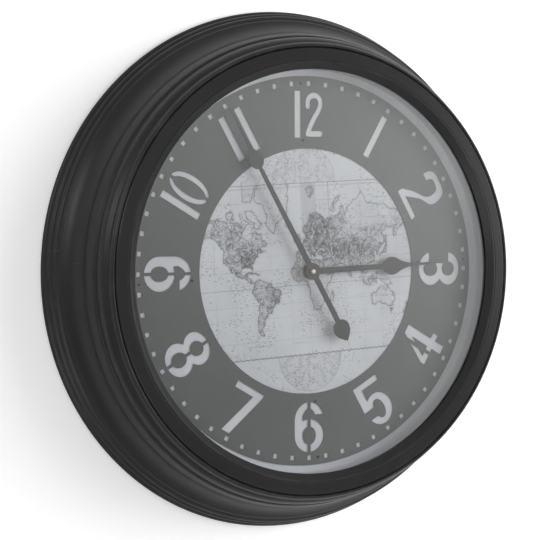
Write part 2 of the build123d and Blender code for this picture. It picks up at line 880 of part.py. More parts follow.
# Places of the arbors
centre_place = (0, 0)
minute_place = polar((cannon_teeth + minute_wheel_teeth) * motion_module / 2,
                     minute_wheel_direction)
knob_place = polar((minute_wheel_teeth + knob_pinion_teeth) * motion_module / 2,
                   knob_direction, minute_place)
third_place = polar((centre_teeth + third_pinion_teeth) * centre_module / 2, third_direction)
seconds_place = polar((third_teeth + seconds_pinion_teeth) * third_module / 2,
                      seconds_direction, third_place)
reduction_place = polar((seconds_teeth + reduction_pinion_teeth) * seconds_module / 2,
                        reduction_direction, seconds_place)
rotor_place = polar((reduction_teeth + rotor_teeth) * rotor_module / 2,
                    rotor_direction, reduction_place)
pivot_places = [minute_place, third_place, seconds_place, reduction_place, rotor_place]
cover_screw_places = [
    (side * cover_screw_x, z) for side in (-1, 1) for z in (cover_screw_top, cover_screw_bottom)
]

# Movement housing, a tray with a threaded neck, bearings for the arbors and a battery bay
with BuildPart() as movement_housing:
    tray_depth = front_wall_inside - cover_inside
    inner_half = movement_half_width - movement_wall
    with BuildSketch(front_plane(cover_inside)):
        RectangleRounded(2 * movement_half_width, 2 * movement_half_width, movement_corner)
    extrude(amount=tray_depth + movement_wall)
    with BuildSketch(front_plane(cover_inside)):
        RectangleRounded(2 * inner_half, 2 * inner_half, movement_corner - movement_wall)
    extrude(amount=tray_depth, mode=Mode.SUBTRACT)
    with BuildSketch(front_plane(cover_inside)):
        with Locations(*cover_screw_places):
            Circle(cover_post_radius)
        box_between(-inner_half, inner_half, bay_wall_z, bay_wall_z + bay_rib, Mode.ADD)
        for side in (-1, 1):
            rib = side * (bay_half_length + bay_rib / 2)
            box_between(rib - bay_rib / 2, rib + bay_rib / 2, -inner_half, bay_wall_z, Mode.ADD)
    extrude(amount=tray_depth)
    disc(movement_front, neck_length, neck_radius)
    disc(front_wall_inside, movement_wall + neck_length, neck_bore_radius, mode=Mode.SUBTRACT)
    bearing = pivot_radius + pivot_gap
    holes(front_wall_inside, pivot_length + end_shake, bearing, pivot_places + [knob_place])
    post_hole = cover_screw_shank_radius + pivot_gap
    holes(cover_inside, cover_screw_length, post_hole, cover_screw_places)
finish(movement_housing, "movement_housing")

# Movement cover with the battery window, the rear bearings and posts for the electrics
circuit_half = circuit_length / 2 - board_post_radius
circuit_foot = circuit_width / 2 - board_post_radius
circuit_posts = [
    (circuit_x + side * circuit_half, circuit_z + end * circuit_foot)
    for side in (-1, 1)
    for end in (-1, 1)
]
stator_x = rotor_place[0] + stator_shift
stator_posts = [
    (stator_x + side * (stator_length / 2 - board_post_radius),
     rotor_place[1] - stator_width / 2 + board_post_radius)
    for side in (-1, 1)
]
with BuildPart() as movement_cover:
    with BuildSketch(front_plane(movement_back)):
        RectangleRounded(2 * movement_half_width, 2 * movement_half_width, movement_corner)
        with Locations((0, battery_z)):
            Rectangle(window_length, window_width, mode=Mode.SUBTRACT)
    extrude(amount=movement_wall)
    for x, z in circuit_posts:
        disc(cover_inside, circuit_lift, board_post_radius, x, z)
    for x, z in stator_posts:
        disc(cover_inside, stator_back, board_post_radius, x, z)
    holes(cover_inside - pivot_length - end_shake, pivot_length + end_shake,
          pivot_radius + pivot_gap, pivot_places + [centre_place])
    holes(movement_back, movement_wall, knob_shaft_radius + pivot_gap, [knob_place])
    holes(movement_back, movement_wall, cover_screw_shank_radius + wood_screw_gap,
          cover_screw_places)
finish(movement_cover, "movement_cover")

movement_cover_screws = screws(movement_back, cover_screw_places, cover_screw_shank_radius,
                               cover_screw_length, cover_screw_head_radius, cover_screw_head, 1)
finish(movement_cover_screws, "movement_cover_screws")

with BuildPart() as rubber_washer:
    disc(movement_front, washer_thickness, rubber_washer_radius)
    disc(movement_front, washer_thickness, neck_radius + neck_gap, mode=Mode.SUBTRACT)
finish(rubber_washer, "rubber_washer")

with BuildPart() as brass_washer:
    disc(dial_height, brass_washer_thickness, brass_washer_radius)
    disc(dial_height, brass_washer_thickness, neck_radius + neck_gap, mode=Mode.SUBTRACT)
finish(brass_washer, "brass_washer")

with BuildPart() as hex_nut:
    with BuildSketch(front_plane(nut_back)):
        RegularPolygon(nut_flats / 2, 6, major_radius=False)
        Circle(neck_radius + pivot_gap, mode=Mode.SUBTRACT)
    extrude(amount=nut_height)
finish(hex_nut, "hex_nut")


# Toothed wheels
def gear_points(teeth, module, phase):
    """The outline of a wheel, six points to a tooth, with one tooth centred on the phase angle."""
    pitch_radius = teeth * module / 2
    pitch = 360 / teeth
    flank = (
        (pitch_radius - dedendum_share * module, root_half_share),
        (pitch_radius, pitch_half_share),
        (pitch_radius + addendum_share * module, tip_half_share),
    )
    points = []
    for tooth in range(teeth):
        middle = phase + tooth * pitch
        points += [polar(radius, middle - share * pitch) for radius, share in flank]
        points += [polar(radius, middle + share * pitch) for radius, share in reversed(flank)]
    return points


def gear(height, thickness, place, teeth, module, phase):
    """A toothed wheel on an arbor's place."""
    with BuildSketch(front_plane(height, *place)) as outline:
        with BuildLine():
            Polyline(*gear_points(teeth, module, phase), close=True)
        make_face()
    extrude(outline.sketch, amount=thickness)


def meshed_phase(teeth, phase, direction, driven_teeth):
    """The phase that puts a gap of the driven wheel on a tooth of the driver."""
    driver_share = (direction - phase) * teeth / 360
    return direction + half_turn - (1 - 2 * driver_share) * half_turn / driven_teeth


def arbor(place, back, front):
    """A steel arbor with a thinner pivot at each end."""
    disc(back + end_shake, front - back - 2 * end_shake, arbor_radius, *place)
    disc(back + end_shake - pivot_length, front - back + 2 * (pivot_length - end_shake),
         pivot_radius, *place)


def layer_back(layer):
    """The back of a wheel whose layer is measured from the inside of the front wall."""
    return front_wall_inside - layer


def train_wheel(place, wheel_layer, wheel, pinion_layer, pinion):
    """A wheel and its pinion on one arbor. Each is given as teeth, module and phase."""
    with BuildPart() as body:
        arbor(place, cover_inside, front_wall_inside)
        gear(layer_back(wheel_layer), wheel_thickness, place, *wheel)
        gear(layer_back(pinion_layer) - pinion_overrun, wheel_thickness + 2 * pinion_overrun,
             place, *pinion)
    return body


minute_wheel_phase = meshed_phase(cannon_teeth, 0, minute_wheel_direction, minute_wheel_teeth)
hour_wheel_phase = meshed_phase(minute_pinion_teeth, 0, minute_wheel_direction + half_turn,
                                hour_wheel_teeth)
knob_phase = meshed_phase(minute_wheel_teeth, minute_wheel_phase, knob_direction,
                          knob_pinion_teeth)
reduction_phase = meshed_phase(rotor_teeth, 0, rotor_direction + half_turn, reduction_teeth)
seconds_phase = meshed_phase(reduction_pinion_teeth, 0, reduction_direction + half_turn,
                             seconds_teeth)
third_phase = meshed_phase(seconds_pinion_teeth, 0, seconds_direction + half_turn, third_teeth)
centre_phase = meshed_phase(third_pinion_teeth, 0, third_direction + half_turn, centre_teeth)

minute_wheel = train_wheel(minute_place, minute_layer,
                           (minute_wheel_teeth, motion_module, minute_wheel_phase),
                           hour_layer, (minute_pinion_teeth, motion_module, 0))
finish(minute_wheel, "minute_wheel")

third_wheel = train_wheel(third_place, third_layer, (third_teeth, third_module, third_phase),
                          centre_layer, (third_pinion_teeth, centre_module, 0))
finish(third_wheel, "third_wheel")

seconds_wheel = train_wheel(seconds_place, seconds_layer,
                            (seconds_teeth, seconds_module, seconds_phase),
                            third_layer, (seconds_pinion_teeth, third_module, 0))
finish(seconds_wheel, "seconds_wheel")

reduction_wheel = train_wheel(reduction_place, reduction_layer,
                              (reduction_teeth, rotor_module, reduction_phase),
                              seconds_layer, (reduction_pinion_teeth, seconds_module, 0))
finish(reduction_wheel, "reduction_wheel")

# Rotor, a magnet with a pinion
stator_height = cover_inside + stator_back
with BuildPart() as rotor:
    arbor(rotor_place, cover_inside, front_wall_inside)
    magnet_back = stator_height + stator_thickness / 2 - magnet_height / 2
    disc(magnet_back, magnet_height, magnet_radius, *rotor_place)
    gear(layer_back(reduction_layer) - pinion_overrun, wheel_thickness + 2 * pinion_overrun,
         rotor_place, rotor_teeth, rotor_module, 0)
finish(rotor, "rotor")

# Centre wheel, which turns the minute arbor through a friction clutch
with BuildPart() as centre_wheel:
    gear(layer_back(centre_layer), wheel_thickness, centre_place, centre_teeth, centre_module,
         centre_phase)
    disc(layer_back(centre_layer), wheel_thickness, rear_arbor_radius + pivot_gap,
         mode=Mode.SUBTRACT)
finish(centre_wheel, "centre_wheel")

# Minute arbor with the clutch collars and the cannon pinion
hour_tube_front = hour_hand_height + hand_thickness
with BuildPart() as minute_arbor:
    cannon_back = layer_back(minute_layer) - pinion_overrun
    cannon_front = layer_back(minute_layer) + wheel_thickness + pinion_overrun
    disc(cover_inside + end_shake - pivot_length, pivot_length, pivot_radius)
    disc(cover_inside + end_shake, cannon_back - cover_inside - end_shake, rear_arbor_radius)
    clutch_back = layer_back(centre_layer) - collar_gap - collar_thickness
    disc(clutch_back, collar_thickness, collar_radius)
    clutch_front = layer_back(centre_layer) + wheel_thickness + collar_gap
    disc(clutch_front, cannon_back - clutch_front, collar_radius)
    gear(cannon_back, cannon_front - cannon_back, centre_place, cannon_teeth, motion_module, 0)
    disc(cannon_front, minute_hand_height - cannon_front, minute_arbor_radius)
    disc(minute_hand_height, hand_thickness, hand_seat_radius)
    disc(minute_hand_height, hand_thickness + thread_length, thread_radius)
finish(minute_arbor, "minute_arbor")

# Hour wheel with its tube
with BuildPart() as hour_wheel:
    gear(layer_back(hour_layer), wheel_thickness, centre_place, hour_wheel_teeth, motion_module,
         hour_wheel_phase)
    tube_back = layer_back(hour_layer)
    disc(tube_back, hour_tube_front - tube_back, hour_tube_radius)
    disc(tube_back, hour_tube_front - tube_back, minute_arbor_radius + tube_bore_gap,
         mode=Mode.SUBTRACT)
finish(hour_wheel, "hour_wheel")

# Time setting knob with its pinion
with BuildPart() as time_set_knob:
    knob_front = movement_back - knob_gap
    disc(knob_front - knob_height, knob_height, knob_radius, *knob_place)
    with BuildSketch(front_plane(knob_front - knob_height, *knob_place)):
        with PolarLocations(knob_radius, knob_groove_count):
            Circle(knob_groove_radius)
    extrude(amount=knob_height, mode=Mode.SUBTRACT)
    pinion_back = layer_back(minute_layer) - pinion_overrun
    disc(knob_front, pinion_back - knob_front, knob_shaft_radius, *knob_place)
    gear(pinion_back, wheel_thickness + 2 * pinion_overrun, knob_place, knob_pinion_teeth,
         motion_module, knob_phase)
    pinion_front = pinion_back + wheel_thickness + 2 * pinion_overrun
    disc(pinion_front, front_wall_inside - end_shake - pinion_front, arbor_radius, *knob_place)
    disc(pinion_front, front_wall_inside + pivot_length - end_shake - pinion_front,
         pivot_radius, *knob_place)
finish(time_set_knob, "time_set_knob")

# Stator, core and coil of the stepping motor
with BuildPart() as stator:
    leg_top = core_z + core_width / 2
    leg_foot = rotor_place[1] + stator_width / 2 - overrun
    with BuildSketch(front_plane(stator_height)):
        with Locations((stator_x, rotor_place[1])):
            Rectangle(stator_length, stator_width)
        for side in (-1, 1):
            leg = stator_x + side * (core_length / 2 - stator_leg / 2)
            box_between(leg - stator_leg / 2, leg + stator_leg / 2, leg_foot, leg_top, Mode.ADD)
        with Locations(rotor_place):
            Circle(magnet_radius + stator_hole_gap, mode=Mode.SUBTRACT)
    extrude(amount=stator_thickness)
finish(stator, "stator")

core_back = stator_height + stator_thickness
with BuildPart() as coil_core:
    with BuildSketch(front_plane(core_back, stator_x, core_z)):
        Rectangle(core_length, core_width)
    extrude(amount=core_thickness)
finish(coil_core, "coil_core")

with BuildPart() as drive_coil:
    coil_plane = Plane(origin=(stator_x - coil_length / 2, -core_back - core_thickness / 2, core_z),
                       x_dir=(0, 1, 0), z_dir=(1, 0, 0))
    with BuildSketch(coil_plane):
        RectangleRounded(coil_size, coil_size, coil_corner)
        Rectangle(core_thickness + 2 * coil_gap, core_width + 2 * coil_gap, mode=Mode.SUBTRACT)
    extrude(amount=coil_length)
finish(drive_coil, "drive_coil")

# Circuit board with its chip and crystal
circuit_back = cover_inside + circuit_lift
circuit_front = circuit_back + circuit_thickness
with BuildPart() as circuit_board:
    with BuildSketch(front_plane(circuit_back, circuit_x, circuit_z)):
        Rectangle(circuit_length, circuit_width)
    extrude(amount=circuit_thickness)
finish(circuit_board, "circuit_board")

with BuildPart() as timing_chip:
    disc(circuit_front, chip_height, chip_radius, circuit_x, circuit_z)
finish(timing_chip, "timing_chip")

with BuildPart() as quartz_crystal:
    crystal_x = circuit_x - circuit_length / 2 + crystal_inset
    crystal_plane = Plane(
        origin=(crystal_x, -circuit_front - crystal_radius, circuit_z - crystal_length / 2),
        x_dir=(1, 0, 0), z_dir=(0, 0, 1))
    with BuildSketch(crystal_plane):
        Circle(crystal_radius)
    extrude(amount=crystal_length)
finish(quartz_crystal, "quartz_crystal")

# Battery and its two contacts, the positive end at the left seen from the front
positive_plate = -bay_half_length + contact_thickness
battery_nub_end = positive_plate + battery_gap
battery_left = battery_nub_end + battery_nub_length
with BuildPart() as battery:
    for left, length, radius in (
        (battery_left, battery_length, battery_radius),
        (battery_nub_end, battery_nub_length, battery_nub_radius),
    ):
        end_plane = Plane(origin=(left, -battery_height, battery_z), x_dir=(0, 1, 0),
                          z_dir=(1, 0, 0))
        with BuildSketch(end_plane):
            Circle(radius)
        extrude(amount=length)
finish(battery, "battery")

negative_bump_start = battery_left + battery_length + battery_gap
negative_plate = bay_half_length - contact_thickness
with BuildPart() as battery_contacts:
    for left in (-bay_half_length, negative_plate):
        plate_plane = Plane(origin=(left, -battery_height, battery_z), x_dir=(0, 1, 0),
                            z_dir=(1, 0, 0))
        with BuildSketch(plate_plane):
            Rectangle(contact_width, contact_height)
        extrude(amount=contact_thickness)
    bump_plane = Plane(origin=(negative_bump_start, -battery_height, battery_z),
                       x_dir=(0, 1, 0), z_dir=(1, 0, 0))
    with BuildSketch(bump_plane):
        Circle(contact_bump_radius)
    extrude(amount=negative_plate - negative_bump_start)
finish(battery_contacts, "battery_contacts")


# Hands. The leans are directions at the ends of the curves, sideways and along the hand.
spade_shoulder_share = 0.84
spade_waist_width_share = 0.47
spade_waist_length_share = 0.42
neck_lean_shares = (1, 0.35)
pin_lean_shares = (-0.04, 1)
tail_neck_lean_shares = (1, -0.35)
tail_tip_lean_shares = (-1, -0.9)


def arm_and_spade(arm_start, arm_end, spade_start, spade_wide, spade_width, spade_end,
                  pin_width, tip):
    """One side of a hand, mirrored: a tapered arm, a spade with a concave taper and a pin."""
    half = spade_width / 2
    shoulder = (spade_wide + spade_start) / 2
    with BuildLine() as outline:
        Line((0, 0), (arm_start / 2, 0))
        Line((arm_start / 2, 0), (arm_end / 2, spade_start))
        Spline((arm_end / 2, spade_start), (half * spade_shoulder_share, shoulder),
               (half, spade_wide), tangents=(neck_lean_shares, (0, 1)))
        waist = ((half + pin_width / 2) * spade_waist_width_share,
                 spade_wide + (spade_end - spade_wide) * spade_waist_length_share)
        Spline((half, spade_wide), waist, (pin_width / 2, spade_end),
               tangents=((0, 1), pin_lean_shares))
        Line((pin_width / 2, spade_end), (pin_tip_width / 2, tip))
        Line((pin_tip_width / 2, tip), (0, tip))
        Line((0, tip), (0, 0))
    make_face(outline.edges())
    mirror(about=Plane.YZ)


with BuildPart() as hour_hand:
    with BuildSketch(front_plane(hour_hand_height, angle=hour_hand_angle)):
        arm_and_spade(hour_arm_width, hour_arm_end_width, hour_spade_start, hour_spade_wide,
                      hour_spade_width, hour_spade_end, hour_pin_start_width, hour_tip)
        Circle(hub_radius)
        Circle(hour_tube_radius + hand_fit_gap, mode=Mode.SUBTRACT)
    extrude(amount=hand_thickness)
finish(hour_hand, "hour_hand")

with BuildPart() as minute_hand:
    with BuildSketch(front_plane(minute_hand_height, angle=minute_hand_angle)):
        arm_and_spade(minute_arm_width, minute_arm_end_width, minute_spade_start,
                      minute_spade_wide, minute_spade_width, minute_spade_end,
                      minute_pin_start_width, minute_tip)
        half = tail_width / 2
        with BuildLine():
            Line((0, 0), (tail_arm_width / 2, 0))
            Line((tail_arm_width / 2, 0), (tail_arm_width / 2, -tail_start))
            Spline((tail_arm_width / 2, -tail_start), (half, -tail_wide), (0, -tail_tip),
                   tangents=(tail_neck_lean_shares, tail_tip_lean_shares))
            Line((0, -tail_tip), (0, 0))
        make_face()
        mirror(about=Plane.YZ)
        Circle(hub_radius)
        Circle(hand_seat_radius + hand_fit_gap, mode=Mode.SUBTRACT)
    extrude(amount=hand_thickness)
finish(minute_hand, "minute_hand")

# Cap nut on the end of the minute arbor
with BuildPart() as hand_cap_nut:
    cap_back = minute_hand_height + hand_thickness
    disc(cap_back, cap_height, cap_radius)
    front_edge = edges().sort_by(Axis.Y)[0]
    fillet(front_edge, radius=cap_height * cap_round_share)
    disc(cap_back, thread_length + pivot_gap, thread_radius + pivot_gap, mode=Mode.SUBTRACT)
finish(hand_cap_nut, "hand_cap_nut")
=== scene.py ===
"""Wall clock with a world map dial: surfaces, finishes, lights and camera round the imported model.

Sizes are metres. Up is +Z, the front faces -Y and the wall is the plane Y = 0. A height is a
distance forward from the wall, so a point at a height lies at Y = -height.
"""
import logging
import math
from dataclasses import dataclass
from enum import Enum

import bpy
import numpy as np
from mathutils import Matrix, Vector


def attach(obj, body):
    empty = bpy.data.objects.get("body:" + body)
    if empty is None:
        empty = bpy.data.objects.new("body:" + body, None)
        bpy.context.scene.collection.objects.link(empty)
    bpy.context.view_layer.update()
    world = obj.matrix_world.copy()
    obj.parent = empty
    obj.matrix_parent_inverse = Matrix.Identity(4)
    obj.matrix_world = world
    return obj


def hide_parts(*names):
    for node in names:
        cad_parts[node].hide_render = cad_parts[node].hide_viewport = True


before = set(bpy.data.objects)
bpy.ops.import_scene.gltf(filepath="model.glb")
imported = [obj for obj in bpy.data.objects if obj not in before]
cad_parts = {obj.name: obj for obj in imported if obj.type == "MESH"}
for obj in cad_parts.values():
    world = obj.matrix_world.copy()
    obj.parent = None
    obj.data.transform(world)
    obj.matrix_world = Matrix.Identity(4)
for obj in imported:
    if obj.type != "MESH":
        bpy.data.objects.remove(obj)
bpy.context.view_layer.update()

LOG = logging.getLogger("clock")
MM = 0.001
TAU = 2 * math.pi
TINY = 1e-6
PAINT_RELIEF = 0.4 * MM
PRINT_RELIEF = 0.2 * MM
SQUARE = np.array([[0, 1, 2, 3]])
PLAIN_TURN = (0.0, 0.0, 0.0)
CREST_WINDOW = 3
CREST_GAIN = 6
Point = tuple[float, float]
Colour = tuple[float, float, float]
Point3 = tuple[float, float, float]
Socket = bpy.types.NodeSocket
Value = float | tuple | Socket | None
DUST_TONE: Colour = (0.42, 0.41, 0.39)
WORN_TONE: Colour = (0.06, 0.06, 0.06)
SCRATCH_TONE: Colour = (0.12, 0.12, 0.12)
BRUSH_TONE: Colour = (0.08, 0.08, 0.08)
# Painted shade for the gaps between the turns of coil wire.
WIRE_GAP_SHADE: Colour = (0.18, 0.06, 0.02)
PAPER_TONES: tuple[Colour, Colour] = ((0.54, 0.555, 0.58), (0.46, 0.475, 0.5))
FIBRE_TONE: Colour = (0.3, 0.31, 0.33)


# Surfaces worked out with numpy


def make_object(name: str, points: np.ndarray, faces: np.ndarray,
                sharp_degrees: float = 35.0) -> bpy.types.Object:
    """Put arrays of points and faces into a new smooth-shaded mesh object at the origin.

    Args:
        name: The object's name.
        points: Vertex places, one row each, in metres.
        faces: Vertex numbers, one row for each face.
        sharp_degrees: Edges that turn by more than this angle stay sharp.

    Returns:
        The new object, linked to the scene.
    """
    mesh = bpy.data.meshes.new(name)
    mesh.from_pydata(points.tolist(), [], faces.tolist())
    mesh.shade_smooth()
    mesh.set_sharp_from_angle(angle=math.radians(sharp_degrees))
    piece = bpy.data.objects.new(name, mesh)
    bpy.context.scene.collection.objects.link(piece)
    return piece


def set_field(piece: bpy.types.Object, name: str, values: np.ndarray) -> None:
    """Store one number or one vector for each vertex of a piece.

    Args:
        piece: The piece that carries the field.
        name: The attribute's name.
        values: One value per vertex, or rows of three.
    """
    kind, key = ("FLOAT", "value") if values.ndim == 1 else ("FLOAT_VECTOR", "vector")
    field = piece.data.attributes.new(name, kind, "POINT")
    field.data.foreach_set(key, values.astype(np.float32).ravel())


def arc(start: Point, middle: Point, end: Point, steps: int = 24) -> np.ndarray:
    """Points of the circle arc that runs through three points.

    The centre is where the two perpendicular bisectors of the chords meet, and the angle runs
    evenly from the start to the end on the side of the middle point.

    Args:
        start: First point.
        middle: A point on the arc between the ends.
        end: Last point.
        steps: Number of steps.

    Returns:
        Rows of points, both ends included.
    """
    a, b, c = (np.array(p, float) for p in (start, middle, end))
    rows = np.array([b - a, c - a])
    centre = np.linalg.solve(2 * rows, [b @ b - a @ a, c @ c - a @ a])
    angles = [math.atan2(*(p - centre)[::-1]) for p in (a, b, c)]
    sweep = (angles[2] - angles[0]) % TAU
    if (angles[1] - angles[0]) % TAU > sweep:
        sweep -= TAU
    turn = angles[0] + np.linspace(0, sweep, steps + 1)
    radius = np.linalg.norm(a - centre)
    return centre + radius * np.stack([np.cos(turn), np.sin(turn)], 1)


def even_profile(stretches: list[np.ndarray], spacing: float, rounding: int) -> np.ndarray:
    """Join stretches of a closed outline, space its points evenly and ease its corners.

    The eased outline is the moving average of the even one over a window of a few points.

    Args:
        stretches: Arrays of points in order round the outline.
        spacing: Distance between points.
        rounding: Half the width of the averaging window, in points.

    Returns:
        Rows of radius and height round the closed outline.
    """
    loop = np.concatenate(stretches)
    loop = np.vstack([loop, loop[:1]])
    along = np.concatenate([[0], np.cumsum(np.linalg.norm(np.diff(loop, axis=0), axis=1))])
    places = np.linspace(0, along[-1], int(along[-1] / spacing), endpoint=False)
    even = np.stack([np.interp(places, along, loop[:, k]) for k in (0, 1)], 1)
    shifts = range(-rounding, rounding + 1)
    return np.mean([np.roll(even, shift, axis=0) for shift in shifts], axis=0)


def turned(name: str, profile: np.ndarray, sectors: int = 360) -> bpy.types.Object:
    """Carry a closed profile of radius and height once round the hand axis.

    A point at angle a is (radius cos a, -height, radius sin a). The field called crest holds how
    sharply the profile bulges outwards, from 0 to 1, for wear on beads and edges.

    Args:
        name: The object's name.
        profile: Rows of radius and height round a closed outline.
        sectors: Number of steps round the axis.

    Returns:
        The turned piece, its faces pointing outwards.
    """
    ahead, behind = np.roll(profile, -1, axis=0), np.roll(profile, 1, axis=0)
    area = np.sum(profile[:, 0] * ahead[:, 1] - ahead[:, 0] * profile[:, 1])
    if area < 0:
        profile, ahead, behind = profile[::-1], behind[::-1], ahead[::-1]
    count = len(profile)
    angle = np.linspace(0, TAU, sectors, endpoint=False)[:, None]
    radius, height = profile[:, 0][None], profile[:, 1][None]
    points = np.stack([radius * np.cos(angle), -height + 0 * angle, radius * np.sin(angle)], 2)
    row, column = np.meshgrid(np.arange(sectors), np.arange(count), indexing="ij")
    next_row, next_column = (row + 1) % sectors, (column + 1) % count
    faces = np.stack([row * count + column, row * count + next_column,
                      next_row * count + next_column, next_row * count + column], 2)
    piece = make_object(name, points.reshape(-1, 3), faces.reshape(-1, 4))
    before, after = profile - behind, ahead - profile
    turn = before[:, 0] * after[:, 1] - before[:, 1] * after[:, 0]
    turn /= np.linalg.norm(before, axis=1) * np.linalg.norm(after, axis=1) + TINY ** 2
    window = [np.roll(turn, shift) for shift in range(-CREST_WINDOW, CREST_WINDOW + 1)]
    crest = np.clip(np.mean(window, axis=0) * CREST_GAIN, 0, 1)
    set_field(piece, "crest", np.tile(crest, sectors))
    return piece


def disc_grid(name: str, radius: float, height: float, steps: int) -> bpy.types.Object:
    """A round sheet that faces the viewer, with its vertices spread evenly.

    Each square ring of a grid becomes a circle of the same half width: a point (u, v) goes to
    the radius max(|u|, |v|) and to the angle that its place along the square's side gives.

    Args:
        name: The object's name.
        radius: Radius of the sheet.
        height: Its distance from the wall.
        steps: Number of grid steps across.

    Returns:
        The sheet.
    """
    line = np.linspace(-1, 1, steps + 1)
    u, v = np.meshgrid(line, line, indexing="ij")
    wide = np.abs(u) >= np.abs(v)
    reach = np.where(wide, u, v)
    safe = np.where(reach == 0, 1, reach)
    slope = np.where(wide, v / safe, u / safe) * math.pi / 4
    x = radius * reach * np.where(wide, np.cos(slope), np.sin(slope))
    z = radius * reach * np.where(wide, np.sin(slope), np.cos(slope))
    points = np.stack([x, np.full_like(x, -height), z], 2).reshape(-1, 3)
    row, column = np.meshgrid(np.arange(steps), np.arange(steps), indexing="ij")
    first = row * (steps + 1) + column
    faces = np.stack([first, first + steps + 1, first + steps + 2, first + 1], 2)
    return make_object(name, points, faces.reshape(-1, 4))


# Shader nodes


class Ink:
    """A short way to write shader nodes in one tree. Most methods give back an output socket."""

    def __init__(self, tree: bpy.types.NodeTree) -> None:
        """Remember the tree that the nodes go into."""
        self.tree = tree

    def feed(self, socket: Socket, value: Value) -> None:
        """Link a socket into another, or set it to a plain value.

        Args:
            socket: The input to feed.
            value: An output socket, a number, a colour or None to leave it.
        """
        if isinstance(value, bpy.types.NodeSocket):
            self.tree.links.new(value, socket)
        elif value is not None:
            if socket.type == "RGBA" and len(value) == 3:
                value = (*value, 1.0)
            socket.default_value = value

    def node(self, kind: str, fed: tuple | dict = (), **settings) -> bpy.types.Node:
        """Add a shader node, set its properties and feed its inputs.

        Args:
            kind: The node's type name without its common start.
            fed: Values for the inputs, in their order or by name.
            **settings: Properties of the node.

        Returns:
            The new node.
        """
        made = self.tree.nodes.new("ShaderNode" + kind)
        for key, value in settings.items():
            setattr(made, key, value)
        for key, value in fed.items() if isinstance(fed, dict) else enumerate(fed):
            self.feed(made.inputs[key], value)
        return made

    def math(self, operation: str, a: Value, b: Value = None, c: Value = None,
             clamp: bool = False) -> Socket:
        """Do one sum with a Math node."""
        return self.node("Math", (a, b, c), operation=operation, use_clamp=clamp).outputs[0]

    def times(self, first: Value, *others: Value) -> Socket:
        """Multiply values."""
        for value in others:
            first = self.math("MULTIPLY", first, value)
        return first

    def most(self, first: Value, *others: Value) -> Socket:
        """The greatest of some values."""
        for value in others:
            first = self.math("MAXIMUM", first, value)
        return first

    def less(self, first: Value, second: Value) -> Socket:
        """Take one value from another."""
        return self.math("SUBTRACT", first, second)

    def gap(self, value: Value, middle: float) -> Socket:
        """How far a value lies from a number."""
        return self.math("ABSOLUTE", self.less(value, middle))

    def dashes(self, value: Value, low: float, high: float) -> Socket:
        """One dash for each whole step of a value."""
        return self.step(self.math("FRACT", value), low, high)

    def split(self, vector: Socket) -> tuple[Socket, ...]:
        """The three parts of a vector."""
        return tuple(self.node("SeparateXYZ", (vector,)).outputs)

    def step(self, value: Value, low: float, high: float) -> Socket:
        """Rise smoothly from 0 at low to 1 at high, or fall if low is above high."""
        ends = (1.0, 0.0) if low > high else (0.0, 1.0)
        return self.node("MapRange", (value, min(low, high), max(low, high), *ends),
                         interpolation_type="SMOOTHSTEP").outputs[0]

    def spread(self, value: Value, low: float, high: float) -> Socket:
        """Stretch a value from 0..1 to low..high."""
        return self.node("MapRange", {0: value, 3: low, 4: high}).outputs[0]

    def mix(self, factor: Value, a: Value, b: Value, blend: str = "MIX") -> Socket:
        """Mix two colours."""
        return self.node("Mix", {0: factor, 6: a, 7: b}, data_type="RGBA",
                         blend_type=blend).outputs[2]

    def noise(self, vector: Socket, scale: Value, detail: float = 3.0, roughness: float = 0.55,
              warp: float = 0.0) -> Socket:
        """Cloudy noise from 0 to 1."""
        return self.node("TexNoise", {"Vector": vector, "Scale": scale, "Detail": detail,
                                      "Roughness": roughness, "Distortion": warp}).outputs[0]

    def cells(self, vector: Socket, scale: float, feature: str = "F1") -> Socket:
        """Distance in a pattern of cells: to the nearest point, or to the nearest edge."""
        made = self.node("TexVoronoi", {"Vector": vector, "Scale": scale}, feature=feature)
        return made.outputs["Distance"]

    def place(self) -> Socket:
        """The object's own coordinates."""
        return self.node("TexCoord").outputs["Object"]

    def mapped(self, vector: Socket, scale: Point3, turn: Point3 = PLAIN_TURN) -> Socket:
        """Stretch and turn coordinates."""
        return self.node("Mapping", {"Vector": vector, "Scale": scale, "Rotation": turn}).outputs[0]

    def field(self, name: str, output: str = "Fac") -> Socket:
        """A field of the mesh."""
        return self.node("Attribute", attribute_name=name).outputs[output]

    def bump(self, height: Socket, strength: Value, distance: float, normal: Value = None) -> Socket:
        """Turn a height into a normal."""
        return self.node("Bump", {"Height": height, "Strength": strength, "Distance": distance,
                                  "Normal": normal}).outputs[0]

    def group(self, tree: bpy.types.NodeTree, **values: Value) -> bpy.types.bpy_prop_collection:
        """Place a node group and feed its inputs, whose spaces are written as underscores."""
        fed = {key.replace("_", " "): value for key, value in values.items()}
        return self.node("Group", fed, node_tree=tree).outputs

    def shader(self, kind: str, fed: tuple | dict = ()) -> Socket:
        """Add a node that gives a shader."""
        return self.node(kind, fed).outputs[0]

    def rays(self) -> bpy.types.bpy_prop_collection:
        """What kind of ray meets the surface."""
        return self.node("LightPath").outputs

    def close(self, surface: Socket) -> None:
        """Make a shader the material's surface."""
        self.node("OutputMaterial", {"Surface": surface})


def new_material(name: str) -> tuple[bpy.types.Material, Ink]:
    """Start an empty node material.

    Args:
        name: The material's name.

    Returns:
        The material and the ink for its tree.
    """
    material = bpy.data.materials.new(name)
    material.use_nodes = True
    material.node_tree.nodes.clear()
    return material, Ink(material.node_tree)


